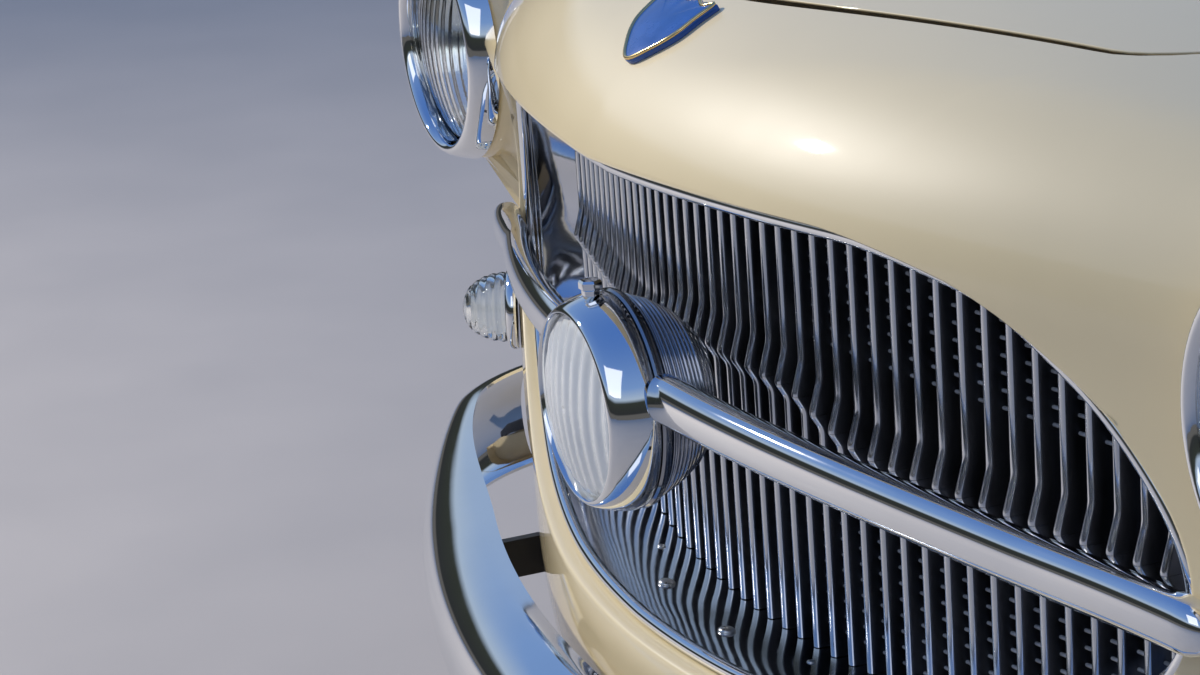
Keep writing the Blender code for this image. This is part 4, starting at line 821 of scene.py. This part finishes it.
def pan():
    shares = np.linspace(0, 1, PAN_ROWS)
    inner = [tray_ring(-PAN_CLOSE * s, s) for s in shares]
    outer = [tray_ring(-PAN_CLOSE * s + PAN_SHEET, s) for s in shares[::-1]]
    rings = inner + outer
    m, n = len(inner[0]), len(rings)
    faces = []
    for i in range(n):
        here, there = i * m, ((i + 1) % n) * m
        faces += [[here + j, here + (j + 1) % m, there + (j + 1) % m, there + j] for j in range(m)]
    piece("grille_pan", np.vstack(rings), faces, PAN_METAL, ["grille_surround"], angle=60)
    pan_screws(inner)
    return np.array(inner[-1])


def pan_screws(inner):
    """Domed screw heads along the pan's lower side, seated on its inner face."""
    rings = np.array(inner)
    parts = []
    for share, x, size in PAN_SCREWS:
        row = int(share * (len(rings) - 1))
        low = rings[row][rings[row][:, 2] < 0.0]
        k = int(np.argmin(np.abs(low[:, 0] - x)))
        at = low[k]
        above = rings[row + 1]
        back = above[int(np.argmin(np.linalg.norm(above - at, axis=1)))] - at
        along = low[min(k + 1, len(low) - 1)] - low[k - 1]
        up = np.cross(back, along)
        up /= np.linalg.norm(up)
        up = up if up[2] > 0 else -up
        e1 = along / np.linalg.norm(along)
        turn = np.stack([e1, up, np.cross(e1, up)], 1)
        head = [(r * size, a * size * SCREW_FLAT) for r, a in SCREW_HEAD]
        parts.append(lathe(head, at, 20, "Y", turn))
    verts, faces = joined(parts)
    piece("pan_screws", verts, faces, STEEL, angle=50)


def ridge_z(x):
    """Height at which a fin starts to lean forward; it rises beside the lamp."""
    return RIDGE_Z + RIDGE_RISE * math.exp(-((max(0.0, abs(x) - LAMP_RIM_R) / RIDGE_RUN) ** 2))


def fin_stations(x, end, upper):
    """Set-back and height along one fin, between the pan and the crest behind the bar."""
    start = ridge_z(x)
    crest = start - RIDGE_HIGH
    if upper:
        run = [(0.0, end - FIN_TOP_OVER), (0.0, start), (START_FORWARD, start - START_DROP)]
        return run + [(b, crest + z) for b, z in CREST_UPPER]
    return [(b, crest + z) for b, z in CREST_LOWER] + [(0.0, end + FIN_FOOT)]


def fin_run(x, stations):
    """One folded fin: a rounded front with straight sides, its front bent along its run."""
    line = rounded(stations, FIN_BEND)
    arc = [(0.5 * math.cos(a), FIN_NOSE - FIN_NOSE * math.sin(a)) for a in np.linspace(math.pi, 0, 9)]
    section = [(-FIN_FLARE, 1.0)] + arc + [(FIN_FLARE, 1.0)]
    verts = []
    for b, z in line:
        for w, d in section:
            verts.append((x + w * FIN_W, float(fin_line(x)) + b + d * (FIN_D - b), z))
    m = len(section)
    faces = grid_faces(len(line), m, wrap=True)
    faces += [list(range(m))[::-1], [(len(line) - 1) * m + j for j in range(m)]]
    return np.array(verts), faces


def wires(name, side, heights):
    """Thin wires threaded through the fins, each as long as the opening is wide at its height."""
    widest = FINS_SIDE * FIN_PITCH - FIN_PITCH / 2
    parts = []
    for z in heights:
        inside = [x for x, _, end in side if abs(end) > abs(z) + WIRE_CLEAR and end * z > 0]
        half = min(max(abs(x) for x in inside), widest)
        path = [(x, float(fin_line(x)) + WIRE_BACK, z) for x in np.linspace(-half, half, WIRE_STEPS)]
        parts.append(sweep(path, round_section(WIRE_R, 6), [UPRIGHT] * len(path)))
    verts, faces = joined(parts)
    piece("fin_wires_" + name, verts, faces, WIRE)


def fin_set(side, upper):
    """All the fins above or below the ridge, and the rails that join them."""
    parts = []
    for k in range(FINS_SIDE):
        for s in (-1, 1):
            x = (k + 0.5) * FIN_PITCH * s
            end = float(np.interp(x, side[:, 0], side[:, 2]))
            parts.append(fin_run(x, fin_stations(x, end, upper)))
    for z, half in RAILS_UPPER if upper else RAILS_LOWER:
        rail = [(x, float(fin_line(x)) + FIN_D - RAIL_IN, z) for x in np.linspace(-half, half, RAIL_STEPS)]
        parts.append(sweep(rail, RAIL_SECTION, [UPRIGHT] * RAIL_STEPS))
    return joined(parts)


def fins(rear_ring):
    above = rear_ring[:, 2] > FIN_SPLIT_Z
    for name, upper in (("upper", True), ("lower", False)):
        side = rear_ring[above if upper else ~above]
        side = side[np.argsort(side[:, 0])]
        wires(name, side, FIN_WIRES_UPPER if upper else FIN_WIRES_LOWER)
        verts, faces = fin_set(side, upper)
        nodes = ["grille_fins_" + name]
        obj = piece("fin_set_" + name, verts, faces, FIN_METAL, nodes, angle=50)
        obj.data.materials.append(FIN_GAP_PAINTED_SHADE)
        # Faces turned sideways or backward take the painted shade of the gaps between the fins
        for poly in obj.data.polygons:
            if abs(poly.normal.x) > 0.93 or poly.normal.y > 0.5:
                poly.material_index = 1


def bar_section():
    """The bar's section, a circle drawn out a little toward a square."""
    out = []
    for a in np.linspace(0, 2 * math.pi, BAR_POINTS, endpoint=False):
        c, s = math.cos(a), math.sin(a)
        out.append((math.copysign(abs(c) ** BAR_SQUARE, c), math.copysign(abs(s) ** BAR_SQUARE, s)))
    return out


def bar_station(t, side):
    """Place and frame of the bar's section at share t of its length, passing over the paint at its end."""
    x = BAR_START + (BAR_END - BAR_START) * t
    y = BAR_Y + BAR_BOW2 * x**2 + BAR_BOW4 * x**4
    lean = 2 * BAR_BOW2 * x + 4 * BAR_BOW4 * x**3
    size = 1.0 if t < BAR_DOME else math.sqrt(max(BAR_TIP, 1 - ((t - BAR_DOME) / BAR_DOME_RUN) ** 2))
    over = min(1.0, max(0.0, (x - OPEN_HALF + BAR_LAND) / BAR_LAND_RUN))
    over = over * over * (3 - 2 * over)
    y -= BAR_LIFT * over
    d = np.array([lean, -1.0, 0.0]) / math.hypot(1, lean)
    if t == 0:
        d = np.array([0.0, -1.0, 0.0])
    place = (side * x, y, BAR_Z - BAR_SAG * x * x + BAR_RISE * over)
    out = np.array([side * d[0], d[1], 0.0]) * BAR_D / 2 * size
    return place, (out, np.array([0, 0, BAR_H / 2 * size]))


def bars():
    for side, tag in ((1, "left"), (-1, "right")):
        path, frames = zip(*[bar_station(t, side) for t in np.linspace(0, 1, BAR_STEPS)])
        verts, faces = sweep(path, bar_section(), frames)
        piece("cross_bar_" + tag, verts, faces, CHROME, ["grille_bar_" + tag], angle=60)


# Lamps
def glass_cap(offset):
    """Faces of one side of a domed glass."""
    faces = [[offset, offset + 1 + (k + 1) % GLASS_POINTS, offset + 1 + k] for k in range(GLASS_POINTS)]
    for i in range(GLASS_RINGS - 1):
        a, b = offset + 1 + i * GLASS_POINTS, offset + 1 + (i + 1) * GLASS_POINTS
        for k in range(GLASS_POINTS):
            m = (k + 1) % GLASS_POINTS
            faces.append([a + k, a + m, b + m, b + k])
    return faces


def fluted(name, mat, nodes, centre, radius, dome, flute, depth, sheet):
    """A domed glass with upright flutes on its face, fading out at the rim."""
    outer, inner = [(0.0, -dome - depth * 0.5, 0.0)], [(0.0, -dome + sheet, 0.0)]
    for i in range(1, GLASS_RINGS + 1):
        r = radius * i / GLASS_RINGS
        base = -dome * (1 - (r / radius) ** 2)
        fade = np.clip((1 - r / radius) / FLUTE_FADE, 0, 1)
        for k in range(GLASS_POINTS):
            a = 2 * math.pi * k / GLASS_POINTS
            x = r * math.cos(a)
            wave = abs(math.sin(math.pi * (x / flute + 0.5)))
            outer.append((x, base - depth * fade * wave, r * math.sin(a)))
            inner.append((x, base + sheet, r * math.sin(a)))
    n = len(outer)
    edge = 1 + (GLASS_RINGS - 1) * GLASS_POINTS
    faces = glass_cap(0) + [f[::-1] for f in glass_cap(n)]
    for k in range(GLASS_POINTS):
        m = (k + 1) % GLASS_POINTS
        faces.append([edge + k, edge + m, n + edge + m, n + edge + k])
    piece(name, np.array(outer + inner) + np.array(centre), faces, mat, nodes, angle=80)


def shell_profile():
    """The centre lamp's ribbed shell, inside first."""
    outside = [(0.067, 0.0342)]
    for y in np.linspace(SHELL_START, SHELL_END, SHELL_ROWS):
        r = float(np.interp(y, SHELL_Y, SHELL_R))
        ridge = 0.5 - 0.5 * math.cos(2 * math.pi * (y - SHELL_START) / RIB_PITCH)
        outside.append((r - RIB_DEPTH * (1 - ridge**0.6), y))
    return SHELL_INSIDE + outside + SHELL_TIP


def centre_lamp():
    c = (0.0, LAMP_Y, LAMP_Z)
    fluted("lamp_glass", PRESSED, ["lamp_lens"], c, LAMP_LENS_R - GLASS_INSET, 0.0105, 0.0135, 0.0026, 0.0045)
    verts, faces = lathe(LAMP_BOWL[::-1] + LAMP_BACK[::-1], c, 64)
    piece("lamp_reflector", verts, faces, MIRROR)
    verts, faces = lathe(LAMP_RIM, c, 96)
    piece("lamp_bezel", verts, faces, CHROME, ["lamp_rim"], angle=50)
    verts, faces = joined([lathe(LAMP_RING, c, 96), lathe(shell_profile(), c, 96)])
    piece("lamp_ribbed_shell", verts, faces, SHELL_METAL, ["lamp_shell"], angle=30)
    top = (0.0, LAMP_Y + CLAMP_BACK, LAMP_Z + LAMP_RIM_R - GLASS_INSET)
    verts, faces = lathe(CLAMP_HEAD, top, 6, "Z")
    nodes = ["lamp_clamp_screw"]
    piece("clamp_screw_head", verts, faces, CHROME, nodes, bevel=0.0006, angle=20)


def headlamps():
    k = HEAD_R / HEAD_TABLE_R
    for side, tag in ((1, "left"), (-1, "right")):
        c = (side * HEAD_X, POD_Y, HEAD_Z)
        front = (c[0], POD_Y - HEAD_GLASS_OUT, c[2])
        nodes = ["headlamp_lens_" + tag]
        radius = HEAD_R - GLASS_INSET
        fluted("headlamp_glass_" + tag, CLEAR, nodes, front, radius, 0.0175, 0.012, 0.0007, 0.004)
        verts, faces = lathe([(r * k, a) for r, a in HEAD_BOWL], c, 64)
        piece("headlamp_reflector_" + tag, verts, faces, MIRROR)
        verts, faces = lathe([(r * k, a) for r, a in HEAD_RIM], c, 96)
        nodes = ["headlamp_rim_" + tag]
        piece("headlamp_bezel_" + tag, verts, faces, CHROME, nodes, angle=50)


def side_dome():
    """The side lamp's ringed glass, inside first."""
    dome = [(DOME_R, DOME_FOOT)]
    for q in np.linspace(0, 1, DOME_STEPS):
        r = DOME_R * math.cos(q * math.pi / 2) ** DOME_BLUNT
        ridge = abs(math.sin(math.pi * q * DOME_RIBS))
        least = 0.0 if q == 1 else DOME_TIP_R
        along = DOME_START + DOME_HIGH * math.sin(q * math.pi / 2)
        dome.append((max(r - DOME_RIB_DEPTH * (1 - ridge) * (1 - q), least), along))
    dome[-1] = (0.0, dome[-1][1])
    return SIDE_INSIDE + dome


def side_lamps():
    for side, tag in ((1, "left"), (-1, "right")):
        p0 = project([(SIDE_X, SIDE_FROM_Y, SIDE_Z)], (0, 1, 0))[0]
        nrm = normals(p0[None])[0]
        e1 = np.cross((0, 0, 1.0), nrm)
        e1 /= np.linalg.norm(e1)
        turn = np.stack([e1, nrm, np.cross(nrm, e1)], 1)
        flip = np.diag([side, 1, 1])
        v, f = lathe(SIDE_BASE, (0, 0, 0), 64, "Y", turn)
        nodes = ["side_lamp_base_" + tag]
        piece("side_lamp_foot_" + tag, (v + p0) @ flip, f, CHROME, nodes, angle=40)
        v, f = lathe(side_dome(), (0, 0, 0), 72, "Y", turn)
        nodes = ["side_lamp_lens_" + tag]
        piece("side_lamp_glass_" + tag, (v + p0) @ flip, f, CLEAR, nodes, angle=60)


def bumper_path():
    """The blade's line in the plan view, found along rays from a hub behind it."""
    hub = np.array([0, BUMPER_HUB_Y])
    pts = []
    for a in np.linspace(-1.0, 1.0, BUMPER_STEPS):
        ang = a * math.radians(90)
        d = np.array([math.sin(ang), -math.cos(ang)])
        lo, hi = 0.0, BUMPER_FAR
        for _ in range(40):
            mid = (lo + hi) / 2
            x, y = d * mid + hub
            front = (BUMPER_Y + BUMPER_BOW * x * x - y) / math.sqrt(1 + (2 * BUMPER_BOW * x) ** 2)
            end = abs(x) - (BUMPER_HALF + BUMPER_END)
            if float(both(np.array(front), np.array(end), BUMPER_ROUND)) > 0:
                hi = mid
            else:
                lo = mid
        pts.append((*(d * lo + hub), BUMPER_Z))
    return spaced(pts, BUMPER_STEPS)


def blade_section():
    keys = np.array(BLADE)
    last = len(keys) - 1
    line = []
    for k in range(last):
        for q in np.linspace(0, 1, BLADE_STEPS, endpoint=False):
            line.append(between(keys[max(k - 1, 0)], keys[k], keys[k + 1], keys[min(k + 2, last)], q))
    line = np.array(line + [keys[-1]])
    lean = np.gradient(line, axis=0)
    lean /= np.linalg.norm(lean, axis=1, keepdims=True)
    inside = [(a + BLADE_SHEET * d[1], b - BLADE_SHEET * d[0]) for (a, b), d in zip(line, lean)]
    return [tuple(p) for p in line] + inside[::-1]


def bumper():
    path = bumper_path()
    frames = []
    for k in range(len(path)):
        t = path[min(k + 1, len(path) - 1)] - path[max(k - 1, 0)]
        t /= np.linalg.norm(t)
        out = np.clip((abs(path[k][0]) - BLADE_EASE_X) / BLADE_EASE_RUN, 0, 1)
        depth = 1 - BLADE_EASE * out * out * (3 - 2 * out)
        frames.append((np.array([t[1], -t[0], 0.0]) * depth, np.array([0, 0, 1.0])))
    verts, faces = sweep(path, blade_section(), frames)
    piece("bumper_skin", verts, faces, CHROME, ["bumper_blade"], angle=45)


# Badge plate, left bare: blue face inside a raised gilt edge
def badge_outline():
    n = len(SHIELD)
    edge = []
    for k in range(n):
        a, b, c, d = [np.array(SHIELD[(k + s) % n]) for s in (-1, 0, 1, 2)]
        edge += [between(a, b, c, d, t) for t in np.linspace(0, 1, BADGE_STEPS, endpoint=False)]
    return np.array([(BADGE_WIDEN * x, BADGE_Y + BADGE_LONG * a, BADGE_FROM_Z) for x, a in edge])


def badge():
    flat = badge_outline()
    centre = np.array([0.0, BADGE_Y + BADGE_LONG * BADGE_MID, BADGE_FROM_Z])
    rings = []
    for t, rise in BADGE_RINGS:
        p = project(centre + (flat - centre) * t, (0, 0, 1))
        rings.append(p + normals(p) * (rise + (BADGE_PROUD if rise > BADGE_FOOT else 0.0)))
    m = len(flat)
    faces = grid_faces(len(rings), m, wrap=True)
    faces += [list(range(m)), [(len(rings) - 1) * m + j for j in range(m)][::-1]]
    piece("badge_face", np.vstack(rings), faces, ENAMEL, ["badge_plate"], angle=50)
    p = project(centre + (flat - centre) * BADGE_EDGE, (0, 0, 1))
    nrm = normals(p)
    path = p + nrm * (BADGE_EDGE_RISE + BADGE_PROUD)
    frames = []
    for k in range(m):
        t = path[(k + 1) % m] - path[k - 1]
        t /= np.linalg.norm(t)
        frames.append((np.cross(t, nrm[k]), nrm[k]))
    verts, faces = sweep(path, round_section(BADGE_EDGE_R, 10), frames, True)
    piece("badge_edge", verts, faces, GOLD)


# Stage: pale floor, soft lights, open sky above
def floor():
    bpy.ops.mesh.primitive_plane_add(size=FLOOR_SIZE, location=(0, 0, GROUND_Z - ORIGIN[2]))
    plane = bpy.context.object
    plane.name = "floor"
    plane.data.materials.append(look("pale_floor", FLOOR_COLOUR, rough=(0.6, 0.75), scale=3, shade=0.03))


def lamp(name, place, aim, size, power, colour):
    data = bpy.data.lights.new(name, "AREA")
    data.energy = power
    data.size = size
    data.color = colour
    obj = bpy.data.objects.new(name, data)
    bpy.context.scene.collection.objects.link(obj)
    gaze = np.array(aim, float) - np.array(place, float)
    back = -gaze / np.linalg.norm(gaze)
    side = np.cross((0, 0, 1), back)
    side /= np.linalg.norm(side)
    up = np.cross(back, side)
    obj.matrix_world = Matrix([[side[k], up[k], back[k], place[k]] for k in range(3)] + [[0, 0, 0, 1]])


def sky():
    world = bpy.data.worlds.new("sky")
    bpy.context.scene.world = world
    world.use_nodes = True
    tree = world.node_tree
    coord = add(tree, "ShaderNodeTexCoord")
    split = add(tree, "ShaderNodeSeparateXYZ")
    height = add(tree, "ShaderNodeMapRange")
    height.inputs["From Min"].default_value = -1.0
    ramp = add(tree, "ShaderNodeValToRGB")
    low, high = ramp.color_ramp.elements[0], ramp.color_ramp.elements[1]
    low.position = 0.0
    low.color = (*SKY_LOW, 1)
    high.position = 1.0
    high.color = (*SKY_HIGH, 1)
    for at, colour in SKY_STOPS:
        ramp.color_ramp.elements.new(at).color = (*colour, 1)
    tree.links.new(coord.outputs["Generated"], split.inputs["Vector"])
    tree.links.new(split.outputs["Z"], height.inputs["Value"])
    tree.links.new(height.outputs["Result"], ramp.inputs["Fac"])
    tree.links.new(ramp.outputs["Color"], tree.nodes["Background"].inputs["Color"])
    tree.nodes["Background"].inputs["Strength"].default_value = SKY_STRENGTH


def camera():
    cam = bpy.data.cameras.new("camera")
    cam.sensor_width = SENSOR_MM
    cam.lens = LENS_MM
    obj = bpy.data.objects.new("camera", cam)
    bpy.context.scene.collection.objects.link(obj)
    obj.matrix_world = Matrix([[RIGHT[k], UP[k], -LOOK[k], PLACE[k]] for k in range(3)] + [[0, 0, 0, 1]])
    bpy.context.scene.camera = obj


nose()
wing(1, "left")
wing(-1, "right")
bonnet()
scuttle()
trim()
fins(pan())
bars()
centre_lamp()
headlamps()
side_lamps()
bumper()
badge()

# Solids shown as they are, with their material
SIDED = ["headlamp_bowl", "bumper_iron", "chassis_leg", "bonnet_hinge_arm", "bonnet_hinge_bracket"]
DRESS = {name + side: BLACK for name in SIDED for side in ("_left", "_right")}
DRESS.update({name: BLACK for name in ("front_cross_member", "radiator_top_tank", "radiator_bottom_tank")})
DRESS.update({name: PRIMER for name in ("bulkhead", "flitch_plate_left", "flitch_plate_right")})
DRESS.update({"slam_panel": PAINT, "radiator_core": CORE})
for name, mat in DRESS.items():
    slots = frame["nodes"][name].data.materials
    slots.clear()
    slots.append(mat)

floor()
lamp("key", (-3.3, -4.0, 3.0), (0.0, -1.0, 0.1), 0.22, 270, (1.0, 0.95, 0.88))
lamp("fill", (3.2, -3.6, 2.6), (0.0, -0.9, 0.0), 2.5, 16, (1.0, 0.97, 0.93))
sky()
camera()
bpy.context.scene.view_settings.view_transform = "Standard"
